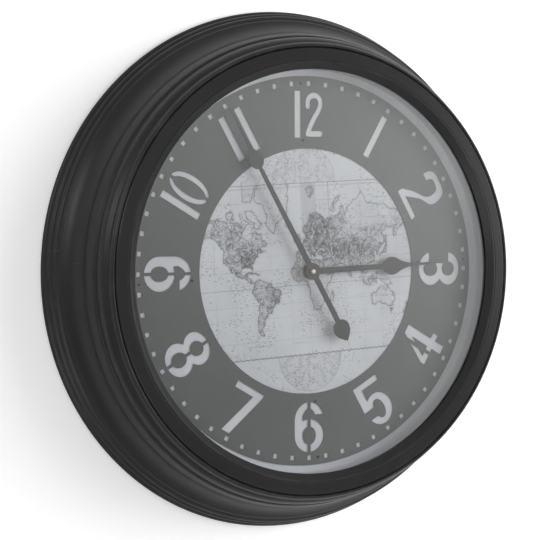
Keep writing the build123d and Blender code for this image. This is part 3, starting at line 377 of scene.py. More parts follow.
def new_group(name: str, inputs: dict[str, str], outputs: dict[str, str]) -> tuple[Ink, dict, dict]:
    """Start a shader node group with named sockets.

    Args:
        name: The group's name.
        inputs: Socket names and kinds, Float, Color or Vector.
        outputs: The same for the results.

    Returns:
        The group's ink, its input sockets and its output sockets.
    """
    tree = bpy.data.node_groups.new(name, "ShaderNodeTree")
    for side, sockets in (("INPUT", inputs), ("OUTPUT", outputs)):
        for label, kind in sockets.items():
            tree.interface.new_socket(label, in_out=side, socket_type="NodeSocket" + kind)
    ink = Ink(tree)
    given = tree.nodes.new("NodeGroupInput").outputs
    result = tree.nodes.new("NodeGroupOutput").inputs
    return ink, {s.name: s for s in given}, {s.name: s for s in result}


def mottled_skin_group() -> bpy.types.NodeTree:
    """Uneven colour, uneven gloss and fine grain for any painted, moulded or plated surface."""
    ink, given, result = new_group(
        "mottled_skin",
        {"Colour": "Color", "Second Colour": "Color", "Patch Scale": "Float", "Patch Amount": "Float",
         "Grain Scale": "Float", "Roughness": "Float", "Gloss Spread": "Float", "Grain Depth": "Float"},
        {"Colour": "Color", "Roughness": "Float", "Normal": "Vector"})
    place = ink.place()
    patches = ink.noise(place, given["Patch Scale"], 4.0, 0.6, 0.4)
    grain = ink.noise(place, given["Grain Scale"], 2.0)
    weight = ink.times(ink.step(patches, 0.3, 0.75), given["Patch Amount"])
    toned = ink.mix(weight, given["Colour"], given["Second Colour"])
    shade = ink.math("MULTIPLY_ADD", grain, 0.12, 0.94)
    grey = ink.node("CombineColor", (shade,) * 3).outputs[0]
    ink.feed(result["Colour"], ink.mix(1.0, toned, grey, "MULTIPLY"))
    wander = ink.less(ink.math("MULTIPLY_ADD", grain, 0.5, ink.times(patches, 0.5)), 0.5)
    gloss = ink.math("MULTIPLY_ADD", wander, given["Gloss Spread"], given["Roughness"], clamp=True)
    ink.feed(result["Roughness"], gloss)
    ink.feed(result["Normal"], ink.bump(grain, given["Grain Depth"], PAINT_RELIEF))
    return ink.tree


def dust_group() -> bpy.types.NodeTree:
    """Pale dust that settles in soft patches and specks."""
    ink, given, result = new_group(
        "settled_dust", {"Colour": "Color", "Amount": "Float"}, {"Colour": "Color", "Mask": "Float"})
    place = ink.place()
    film = ink.step(ink.noise(place, 14.0, 5.0, 0.65), 0.45, 0.8)
    specks = ink.step(ink.cells(place, 420.0), 0.14, 0.05)
    sparse = ink.step(ink.noise(place, 60.0, 2.0), 0.56, 0.66)
    both = ink.math("ADD", ink.times(film, 0.35), ink.times(specks, sparse))
    mask = ink.math("MULTIPLY", both, given["Amount"], clamp=True)
    ink.feed(result["Colour"], ink.mix(mask, given["Colour"], DUST_TONE))
    ink.feed(result["Mask"], mask)
    return ink.tree


def crest_wear_group() -> bpy.types.NodeTree:
    """Paint rubbed thin along the crests of turned beads, broken up by noise."""
    ink, given, result = new_group(
        "crest_wear", {"Colour": "Color", "Worn Colour": "Color", "Crest": "Float", "Amount": "Float"},
        {"Colour": "Color", "Mask": "Float"})
    broken = ink.step(ink.noise(ink.place(), 38.0, 5.0, 0.7), 0.42, 0.68)
    mask = ink.math("MULTIPLY", ink.times(given["Crest"], broken), given["Amount"], clamp=True)
    ink.feed(result["Colour"], ink.mix(mask, given["Colour"], given["Worn Colour"]))
    ink.feed(result["Mask"], mask)
    return ink.tree


SKIN = mottled_skin_group()
DUST = dust_group()
CREST = crest_wear_group()


class Pattern(Enum):
    """An extra pattern that some finishes carry over their skin."""

    NONE = "none"
    CREST = "crest"
    BRUSHED = "brushed"
    WINDING = "winding"
    FIBRE = "fibre"
    TRACKS = "tracks"
    LABEL = "label"


@dataclass(frozen=True)
class Finish:
    """One surface finish, with two tones, a gloss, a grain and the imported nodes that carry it."""

    name: str
    colour: Colour
    second: Colour
    roughness: float
    metallic: float = 0.0
    patch_scale: float = 9.0
    patch_amount: float = 0.5
    grain_scale: float = 900.0
    grain_depth: float = 0.2
    gloss_spread: float = 0.25
    dust: float = 0.15
    coat: float = 0.0
    pattern: Pattern = Pattern.NONE
    nodes: tuple[str, ...] = ()

    def patterned(self, ink: Ink, colour: Socket, roughness: Socket,
                  normal: Socket) -> tuple[Socket, Socket, Socket]:
        """Lay the finish's own pattern over its skin.

        Args:
            ink: The material's ink.
            colour: The skin's colour socket.
            roughness: The skin's roughness socket.
            normal: The skin's normal socket.

        Returns:
            The three sockets after the pattern.
        """
        place = ink.place()
        if self.pattern is Pattern.CREST:
            worn = ink.group(CREST, Colour=colour, Worn_Colour=WORN_TONE,
                             Crest=ink.field("crest"), Amount=0.3)
            scratch = ink.noise(ink.mapped(place, (30.0, 30.0, 420.0), (0.0, 0.9, 0.0)), 1.0, 2.0)
            sparse = ink.step(ink.noise(place, 9.0, 2.0), 0.58, 0.66)
            marks = ink.times(ink.step(scratch, 0.7, 0.74), sparse, 0.5)
            toned = ink.mix(marks, worn["Colour"], SCRATCH_TONE)
            ripple = ink.noise(place, 70.0, 2.0)
            return toned, roughness, ink.bump(ripple, 0.06, PAINT_RELIEF, normal)
        if self.pattern is Pattern.BRUSHED:
            lines = ink.noise(ink.mapped(place, (60.0, 60.0, 2600.0)), 1.0, 3.0)
            toned = ink.mix(ink.spread(lines, 0.0, 0.3), colour, BRUSH_TONE, "MULTIPLY")
            rougher = ink.math("MULTIPLY_ADD", lines, 0.2, roughness)
            return toned, rougher, ink.bump(lines, 0.25, PRINT_RELIEF, normal)
        if self.pattern is Pattern.WINDING:
            wave = ink.node("TexWave", {"Vector": place, "Scale": 900.0}, wave_type="BANDS",
                            bands_direction="X").outputs[1]
            # The dark colour across each band is painted shade in the gaps between the turns of wire;
            # the bump gives the turns their relief.
            toned = ink.mix(wave, colour, WIRE_GAP_SHADE)
            return toned, roughness, ink.bump(wave, 0.8, 0.3 * MM, normal)
        if self.pattern is Pattern.FIBRE:
            strands = ink.noise(ink.mapped(place, (300.0, 300.0, 60.0), (0.0, 0.6, 0.0)), 1.0, 4.0, 0.7)
            toned = ink.mix(ink.step(strands, 0.45, 0.75), colour, self.second)
            return toned, roughness, ink.bump(strands, 0.3, 0.3 * MM, normal)
        if self.pattern is Pattern.TRACKS:
            tracks = ink.step(ink.cells(place, 620.0, "DISTANCE_TO_EDGE"), 0.12, 0.06)
            toned = ink.mix(tracks, colour, self.second)
            return toned, roughness, ink.bump(tracks, 0.3, 0.1 * MM, normal)
        if self.pattern is Pattern.LABEL:
            along = ink.split(place)[0]
            band = ink.step(along, 8.8 * MM, 9.0 * MM)
            ring = ink.times(ink.step(along, 6.6 * MM, 6.7 * MM),
                             ink.step(along, 7.8 * MM, 7.7 * MM))
            toned = ink.mix(band, colour, self.second)
            return ink.mix(ring, toned, self.second), roughness, normal
        return colour, roughness, normal

    def build(self) -> bpy.types.Material:
        """Make the material.

        Returns:
            A node material whose colour, gloss and normal all vary over the surface.
        """
        material, ink = new_material(self.name)
        skin = ink.group(
            SKIN, Colour=self.colour, Second_Colour=self.second, Patch_Scale=self.patch_scale,
            Patch_Amount=self.patch_amount, Grain_Scale=self.grain_scale, Roughness=self.roughness,
            Gloss_Spread=self.gloss_spread, Grain_Depth=self.grain_depth)
        colour, roughness, normal = self.patterned(
            ink, skin["Colour"], skin["Roughness"], skin["Normal"])
        dusty = ink.group(DUST, Colour=colour, Amount=self.dust)
        ink.close(ink.shader("BsdfPrincipled", {
            "Base Color": dusty["Colour"], "Roughness": roughness, "Normal": normal,
            "Metallic": self.metallic, "Coat Weight": self.coat, "Coat Roughness": 0.2}))
        return material


BLACK_PAINT = Finish("satin_black_paint", (0.013, 0.013, 0.0135), (0.018, 0.018, 0.0185), 0.34,
                     patch_scale=5.0, patch_amount=0.7, grain_scale=260.0, grain_depth=0.04,
                     gloss_spread=0.12, dust=0.01, pattern=Pattern.CREST)
NODE_FINISHES: tuple[Finish, ...] = (
    Finish("ring_grey_paint", (0.084, 0.089, 0.088), (0.1, 0.106, 0.105), 0.7, patch_scale=7.0,
           patch_amount=0.9, grain_scale=60.0, grain_depth=0.01, gloss_spread=0.1, dust=0.03,
           nodes=("dial_ring",)),
    Finish("hand_dark_paint", (0.042, 0.043, 0.044), (0.056, 0.057, 0.058), 0.6,
           grain_scale=1500.0, nodes=("hour_hand", "minute_hand")),
    Finish("liner_grey_paint", (0.5, 0.515, 0.54), (0.56, 0.575, 0.6), 0.6, dust=0.05,
           nodes=("dial_liner",)),
    Finish("gasket_rubber", (0.02, 0.02, 0.02), (0.03, 0.03, 0.03), 0.8, nodes=("glass_gasket",)),
    Finish("dial_board_fibre", (0.24, 0.16, 0.09), (0.32, 0.23, 0.14), 0.85,
           pattern=Pattern.FIBRE, nodes=("dial_board",)),
    Finish("back_panel_fibre", (0.06, 0.05, 0.042), (0.1, 0.085, 0.07), 0.8, patch_scale=4.0,
           dust=0.5, pattern=Pattern.FIBRE, nodes=("back_panel",)),
    Finish("dark_screw_steel", (0.03, 0.03, 0.03), (0.06, 0.06, 0.06), 0.45, metallic=0.8,
           nodes=("dial_ring_screws", "dial_ring_spacers")),
    Finish("zinc_screw_steel", (0.5, 0.5, 0.47), (0.6, 0.58, 0.5), 0.35, metallic=1.0,
           nodes=("bezel_screws", "dial_board_screws", "back_panel_screws", "hanger_screws",
           "movement_cover_screws")),
    Finish("hanger_steel", (0.5, 0.5, 0.5), (0.6, 0.6, 0.58), 0.4, metallic=1.0,
           pattern=Pattern.BRUSHED, nodes=("hanger_plate",)),
    Finish("movement_plastic", (0.02, 0.02, 0.022), (0.035, 0.035, 0.037), 0.5,
           grain_scale=2600.0, grain_depth=0.5, dust=0.35, nodes=("movement_housing",
           "movement_cover")),
    Finish("washer_rubber", (0.015, 0.015, 0.015), (0.03, 0.03, 0.03), 0.85,
           nodes=("rubber_washer",)),
    Finish("turned_brass", (0.6, 0.42, 0.16), (0.68, 0.5, 0.24), 0.3, metallic=1.0,
           grain_scale=2500.0, nodes=("brass_washer", "hex_nut", "minute_arbor")),
    Finish("cap_nut_brass", (0.82, 0.78, 0.66), (0.9, 0.86, 0.76), 0.22, metallic=0.6,
           nodes=("hand_cap_nut",)),
    Finish("wheel_plastic", (0.7, 0.7, 0.66), (0.78, 0.78, 0.75), 0.4, grain_scale=3000.0,
           nodes=("reduction_wheel", "seconds_wheel", "third_wheel", "centre_wheel",
           "minute_wheel", "hour_wheel", "time_set_knob")),
    Finish("rotor_magnet", (0.06, 0.06, 0.065), (0.1, 0.1, 0.1), 0.5, metallic=0.4,
           nodes=("rotor",)),
    Finish("stator_steel", (0.4, 0.4, 0.41), (0.5, 0.5, 0.5), 0.35, metallic=1.0,
           pattern=Pattern.BRUSHED, nodes=("stator", "coil_core")),
    Finish("coil_wire", (0.55, 0.2, 0.06), (0.62, 0.28, 0.1), 0.3, metallic=0.7,
           pattern=Pattern.WINDING, nodes=("drive_coil",)),
    Finish("circuit_mask", (0.02, 0.15, 0.05), (0.3, 0.24, 0.1), 0.4, pattern=Pattern.TRACKS,
           nodes=("circuit_board",)),
    Finish("chip_resin", (0.008, 0.008, 0.008), (0.02, 0.02, 0.02), 0.2, nodes=("timing_chip",)),
    Finish("crystal_can", (0.7, 0.7, 0.7), (0.8, 0.8, 0.8), 0.2, metallic=1.0,
           nodes=("quartz_crystal",)),
    Finish("battery_wrap", (0.05, 0.052, 0.056), (0.55, 0.36, 0.15), 0.3, metallic=0.5,
           patch_amount=0.04, coat=0.4, pattern=Pattern.LABEL, nodes=("battery",)),
    Finish("contact_nickel", (0.6, 0.59, 0.55), (0.7, 0.69, 0.66), 0.3, metallic=1.0,
           pattern=Pattern.BRUSHED, nodes=("battery_contacts",)),
)


def dress(piece: bpy.types.Object, material: bpy.types.Material) -> None:
    """Give a piece one material in its only slot."""
    piece.data.materials.clear()
    piece.data.materials.append(material)


def stand_for(piece: bpy.types.Object, body: str, node: str) -> None:
    """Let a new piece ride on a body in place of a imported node.

    Args:
        piece: The new piece.
        body: The body that carries it.
        node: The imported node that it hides.
    """
    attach(piece, body)
    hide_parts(node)
    LOG.info("piece %s stands for %s", piece.name, node)


@dataclass
class CaseMoulding:
    """The turned black moulding: three back beads, a cove, a shoulder and two front beads."""

    radius: float = 300 * MM
    bead_bulge: float = 1.1 * MM
    bead_start: float = 2.5 * MM
    bead_width: float = 6.0 * MM
    bead_pitch: float = 8.4 * MM
    bead_drop: float = 1.7 * MM
    bead_step: float = 3.45 * MM
    bead_count: int = 3
    bead_crest: float = 0.425
    groove: float = 0.65 * MM
    cove: tuple[Point, ...] = ((287.6, 28.6), (276.6, 39.2), (270.8, 54.5))
    shoulder: tuple[Point, ...] = ((270.8, 54.5), (269.9, 63.2), (267.0, 71.2))
    large_bead: tuple[Point, ...] = ((264.0, 73.0), (263.6, 81.1), (258.8, 87.0))
    small_bead: tuple[Point, ...] = ((256.8, 88.8), (256.9, 94.2), (254.0, 97.0))
    inside: tuple[Point, ...] = (
        (252.2, 95.3), (252.2, 88.7), (231.2, 88.7), (231.2, 70.5), (249.0, 70.5), (249.0, 60.0),
        (268.0, 34.0), (276.0, 24.0), (276.0, 9.0), (290.0, 9.0), (290.0, 0.0))
    spacing: float = 0.7 * MM
    arc_steps: int = 48
    rounding: int = 1

    def profile(self) -> np.ndarray:
        """Radius and height round the moulding's section.

        Returns:
            Rows of points: straight runs joined to the circle arcs of the beads and the cove.
        """
        stretches = [np.array([(self.radius - self.bead_bulge, 0.0)])]
        for bead in range(self.bead_count):
            radius = self.radius - self.bead_bulge - bead * self.bead_step
            height = self.bead_start + bead * self.bead_pitch
            end = (radius - self.bead_drop, height + self.bead_width)
            crest = (radius + self.bead_bulge, height + self.bead_width * self.bead_crest)
            following = (radius - self.bead_step, height + self.bead_pitch)
            groove = (following[0] - self.groove, (end[1] + following[1]) / 2)
            stretches += [arc((radius, height), crest, end), np.array([groove])]
        for curve in (self.cove, self.shoulder, self.large_bead, self.small_bead):
            stretches.append(arc(*np.array(curve) * MM, steps=self.arc_steps))
        stretches.append(np.array(self.inside) * MM)
        return even_profile(stretches, self.spacing, self.rounding)

    def build(self) -> None:
        """Turn the moulding and paint it."""
        piece = turned("case_shell", self.profile())
        dress(piece, BLACK_PAINT.build())
        stand_for(piece, "clock_case", "case_moulding")


@dataclass
class FrontBezel:
    """The black ring that holds the glass, with one scribed line and a sloping inner lip."""

    back: tuple[Point, ...] = (
        (227.6, 92.4), (236.9, 92.4), (236.9, 88.7), (251.9, 88.7), (251.9, 95.4))
    face: tuple[Point, ...] = ((250.4, 97.1), (238.0, 98.3), (237.6, 97.7), (237.2, 98.3))
    nose: tuple[Point, ...] = ((237.2, 98.3), (235.6, 98.9), (234.4, 98.3))
    lip: tuple[Point, ...] = ((227.6, 93.4),)
    spacing: float = 0.35 * MM
    arc_steps: int = 12
    rounding: int = 1

    def build(self) -> None:
        """Turn the bezel and paint it like the moulding."""
        nose = arc(*np.array(self.nose) * MM, steps=self.arc_steps)
        stretches = [np.array(self.back) * MM, np.array(self.face) * MM, nose, np.array(self.lip) * MM]
        piece = turned("bezel_ring", even_profile(stretches, self.spacing, self.rounding))
        dress(piece, bpy.data.materials[BLACK_PAINT.name])
        stand_for(piece, "clock_case", "front_bezel")


@dataclass
class GlassPane:
    """The flat glass, with ground edges, clear but for its reflections."""

    radius: float = 236.6 * MM
    edge: float = 0.5 * MM
    back: float = 88.7 * MM
    front: float = 91.7 * MM
    inner: float = 0.1 * MM
    sectors: int = 180
    tint: tuple[float, ...] = (0.985, 0.99, 0.99, 1.0)
    index: float = 1.5

    def build(self) -> None:
        """Turn the pane from the axis out and dress it in glass."""
        inner, outer, edge, back, front = self.inner, self.radius, self.edge, self.back, self.front
        outline = [(inner, back), (outer - edge, back), (outer, back + edge),
                   (outer, front - edge), (outer - edge, front), (inner, front)]
        piece = turned("glass_pane", np.array(outline), self.sectors)
        dress(piece, self.material())
        stand_for(piece, "clock_case", "glass_lens")

    def material(self) -> bpy.types.Material:
        """Clear glass that lets the light through to the dial.

        Returns:
            Principled glass, see-through for shadow rays and for the rays that rough surfaces
            send out, so that the dial under it is lit without noise.
        """
        material, ink = new_material("clear_glass")
        glass = ink.shader("BsdfPrincipled", {
            "Base Color": self.tint, "Transmission Weight": 1.0, "IOR": self.index, "Roughness": 0.0})
        rays = ink.rays()
        rough = ink.times(rays["Is Glossy Ray"], ink.less(1.0, rays["Is Singular Ray"]))
        unseen = ink.most(rays["Is Shadow Ray"], rays["Is Diffuse Ray"], rough)
        ink.close(ink.shader("MixShader", (unseen, glass, ink.shader("BsdfTransparent"))))
        return material


# Coasts of a plain world map, given as longitude and latitude in degrees

COASTS: dict[str, tuple[Point, ...]] = {
    "north_america": (
        (-168, 65.7), (-161, 64.5), (-165, 62.5), (-162, 60), (-158, 58.7), (-164, 54.7), (-158, 56.5),
        (-152, 59.5), (-146, 61), (-137, 58.7), (-132, 56), (-128, 52), (-123, 49), (-124, 46),
        (-124, 39.5), (-120.5, 34.5), (-117, 32.5), (-115, 28.5), (-112, 25), (-109.5, 23.3),
        (-112, 28), (-114.7, 31.5), (-112.5, 31), (-110, 27.5), (-106, 23), (-105.5, 20.5),
        (-101, 17.5), (-94, 16), (-88, 13), (-86, 11), (-83, 8.5), (-80, 7.5), (-77.5, 8), (-80, 9),
        (-83.5, 11), (-83.5, 15.5), (-88, 16), (-87, 21.5), (-90.5, 21), (-91, 18.5), (-95, 18.5),
        (-97.5, 21.5), (-97.5, 26), (-95, 29), (-90, 29.5), (-84, 30), (-82, 28.5), (-80, 26),
        (-81, 31.5), (-76, 35), (-76, 37), (-74, 40.5), (-70, 41.5), (-70, 43.5), (-66, 44),
        (-60, 46), (-64, 46), (-65, 48.5), (-66, 50), (-60, 50), (-56, 52.5), (-62, 57), (-65, 60),
        (-69, 59), (-72, 62), (-78, 62), (-77, 58), (-79, 55), (-79, 51.5), (-82, 52.5), (-85, 55.5),
        (-94, 58.5), (-94, 61), (-86, 66), (-82, 68), (-90, 69), (-95, 72), (-95, 68), (-108, 68),
        (-115, 68), (-128, 70), (-141, 70), (-156, 71), (-166, 68.5)),
    "greenland": (
        (-73, 78), (-68, 76), (-58, 75), (-52, 70), (-54, 67), (-50, 62), (-44, 60), (-40, 65),
        (-32, 68), (-22, 71), (-20, 75), (-18, 80.5), (-35, 83), (-60, 82)),
    "baffin": (
        (-61.5, 66.5), (-68, 63), (-77, 64.5), (-73, 67), (-85, 70), (-88, 73), (-78, 73),
        (-70, 70.5)),
    "ellesmere": ((-90, 76.5), (-78, 76.5), (-75, 79), (-62, 82), (-75, 82.5), (-90, 81)),
    "victoria": ((-105, 69), (-116, 69.5), (-118, 72.5), (-108, 73)),
    "cuba": ((-85, 22), (-82, 23), (-75, 20.3), (-77.5, 20), (-82, 22.3)),
    "hispaniola": ((-74, 19.8), (-69, 19), (-71, 17.8), (-74, 18.2)),
    "south_america": (
        (-77, 8), (-72, 12), (-64, 10.5), (-60, 8), (-52, 4.5), (-50, 0), (-44, -2.5), (-37, -4.5),
        (-35, -8), (-39, -14), (-40, -21), (-45, -23.5), (-48.5, -27), (-53, -33), (-57, -34.5),
        (-57, -38), (-62, -39), (-65, -42), (-65.5, -46), (-69, -50.5), (-66, -55), (-71, -54.5),
        (-75, -50), (-74, -44), (-73.5, -38), (-71.5, -30), (-70, -20), (-75, -15.5), (-80, -6),
        (-81, -3), (-79, 1), (-77.5, 4.5)),
    "africa": (
        (-6, 35.8), (3, 36.8), (10, 37), (11, 34), (19, 30.5), (21, 32.8), (31, 31.3), (34, 28),
        (37, 21), (43, 11.8), (51, 11.8), (47, 4), (41, -2), (39, -8), (40.5, -15), (35, -22),
        (32.5, -28), (27, -33.8), (20, -34.7), (17.5, -31), (14.5, -22), (12, -16), (13.5, -9),
        (9, -1), (9.5, 4), (4, 6.3), (-4, 5), (-9, 5.5), (-13, 9), (-17, 14.5), (-16.5, 20),
        (-14, 26), (-9.5, 31)),
    "madagascar": ((49, -12), (50.3, -16), (47, -25), (44, -24.5), (44.3, -17)),
    "eurasia": (
        (-9, 37), (-9, 43), (-1.5, 43.5), (-1.5, 46.5), (-4.5, 48.3), (2, 51), (5, 53.3), (8.3, 54),
        (8.5, 57), (10.5, 57.5), (10.5, 54.5), (14, 54), (19, 54.5), (21, 57), (24, 57.5),
        (23.5, 59.3), (30, 60), (22, 60.5), (21.5, 63), (25, 65), (22, 65.8), (17.5, 61.5),
        (18.5, 59.5), (16, 56.5), (13, 55.5), (11, 59), (7, 58), (5, 60), (5, 62), (12, 66),
        (18, 69.5), (26, 71), (31, 70), (41, 67), (40, 66), (33, 66.7), (38, 64), (44, 66),
        (44, 68), (54, 68.5), (60, 69), (67, 69), (67, 72), (72, 73), (74, 68), (80, 72.5),
        (90, 75), (104, 77.5), (113, 74), (127, 73), (140, 72.5), (152, 71), (161, 69.5),
        (170, 70), (180, 69), (190, 66), (180, 64.5), (177, 62.5), (170, 60), (163, 58),
        (161.5, 55), (157, 51), (156, 57), (163, 61.5), (155, 59.3), (143, 59.3), (135, 54.7),
        (140, 53), (140, 48), (134, 43), (129.5, 41), (129, 36), (126.5, 34.5), (126, 38),
        (121.5, 39), (118, 39), (122, 37), (119.5, 35), (122, 31), (120, 26), (114, 22.3),
        (108.5, 21.5), (106, 19), (109, 12), (105, 8.8), (101, 13), (100, 9), (103.5, 1.5),
        (100.5, 5), (98.5, 9), (98, 15), (95, 16), (91.5, 22.5), (87, 21), (80.3, 15.5), (80, 11),
        (77.5, 8), (74.5, 14), (72.5, 21), (69, 22.5), (66.5, 25), (57, 26), (54, 26.7), (50, 30),
        (48, 30), (50.5, 26), (51.5, 24), (56.3, 26), (59.5, 22.5), (55, 17.5), (45, 12.8),
        (43, 14), (39, 21), (35, 28), (34.5, 31.5), (36, 36.5), (30, 36.5), (26.5, 38.5), (29, 41),
        (36, 41.5), (41.5, 41.5), (38, 44.7), (35, 45.5), (31, 46.5), (28, 43), (26, 40.8),
        (23, 40), (23, 36.7), (20, 39.5), (19, 42), (13.5, 45.5), (12.5, 44), (18, 40), (16, 38),
        (12, 42), (8.5, 44.3), (3.2, 43), (3, 42), (-0.5, 39), (-2, 36.8), (-5.5, 36.2)),
    "caspian_water": ((47, 45), (51, 46.5), (53, 42), (54, 37), (50, 37.5), (49.5, 40.5)),
    "great_britain": (
        (-5, 50), (1.3, 51.3), (0.3, 53), (-2, 56), (-3, 58.5), (-6, 57), (-3.2, 54.8), (-4.5, 53),
        (-5, 51.7)),
    "ireland": ((-10, 52), (-6.3, 52.3), (-6, 54.5), (-8.5, 55), (-10, 53.5)),
    "iceland": ((-24, 65.5), (-22.5, 64), (-18.5, 63.5), (-14, 65), (-16.5, 66.4), (-22, 66.3)),
    "svalbard": ((12, 79.5), (14, 77.2), (17, 76.8), (24, 79), (20, 80.3)),
    "novaya_zemlya": ((52, 71.5), (57, 70.8), (57.5, 73.5), (68, 76.6), (61, 76.2), (55, 74)),
    "honshu": (
        (130.5, 33), (131, 31.3), (135.5, 33.7), (140.7, 35.5), (142, 39.5), (141.3, 41.2),
        (139.8, 39), (136.8, 37), (132.5, 35.3)),
    "hokkaido": ((140.3, 41.8), (144.5, 43), (143, 44.3), (141.7, 45.2)),
    "sakhalin": ((142, 46.5), (143.5, 49.5), (143, 54), (142, 51)),
    "luzon": ((120.3, 16), (122, 18.3), (124, 13), (120.8, 14)),
    "mindanao": ((122.2, 7.5), (125.6, 6), (126.2, 9), (124.5, 8.7)),
    "borneo": ((109, 1.5), (113, 3), (117, 7), (119, 5), (117.5, 0.5), (116, -4), (110.5, -3)),
    "sumatra": ((95.5, 5.5), (100, 2.3), (104, -1.5), (106, -5.7), (102, -4.2), (98.7, 1.2)),
    "java": ((105.3, -6.5), (110.8, -6.5), (114.4, -8), (108, -7.7)),
    "sulawesi": (
        (119.5, -5.3), (119.5, 0.5), (125, 1.5), (120.8, 0.2), (123, -1), (121, -2.5), (122.8, -5)),
    "new_guinea": (
        (131, -1), (134, -0.9), (137.5, -1.6), (144.5, -4), (147.5, -6.2), (150.5, -10.5),
        (146.5, -8.9), (142.5, -9.2), (138, -8.3), (137.5, -5.2), (133, -4)),
    "australia": (
        (113.7, -22.5), (114.5, -28), (115.8, -34.3), (119, -34.5), (124, -33.3), (129, -31.7),
        (135, -34.7), (137.8, -32.8), (138, -35.5), (141, -38.3), (146.5, -38.9), (150, -37.3),
        (153.2, -31), (153, -25.5), (149, -21), (146, -19), (145.3, -15), (142.6, -10.8),
        (141.3, -14), (140.5, -17.6), (136, -15.5), (136.7, -12), (131, -11.6), (129, -15),
        (125.5, -14.2), (122.5, -18), (117, -20.6)),
    "tasmania": ((145, -41), (148.2, -41), (147, -43.5)),
    "north_island": ((173, -34.7), (178.3, -37.8), (175.3, -41.5), (174, -39.3)),
    "south_island": ((172.8, -40.7), (174.2, -41.7), (170.5, -45.8), (167.5, -46.5), (168.5, -44)),
    "ceylon": ((80, 9.5), (81.8, 7), (80.3, 6)),
}


INK_BLACK: Colour = (0.05, 0.052, 0.057)
INK_LINE: Colour = (0.07, 0.073, 0.08)
INK_MARK: Colour = (0.1, 0.103, 0.11)
INK_DARK: Colour = (0.13, 0.134, 0.142)
INK_GRID: Colour = (0.15, 0.155, 0.17)
INK_TINT: Colour = (0.2, 0.2, 0.21)
INK_PALE: Colour = (0.36, 0.37, 0.39)
INK_FOLD: Colour = (0.62, 0.63, 0.66)


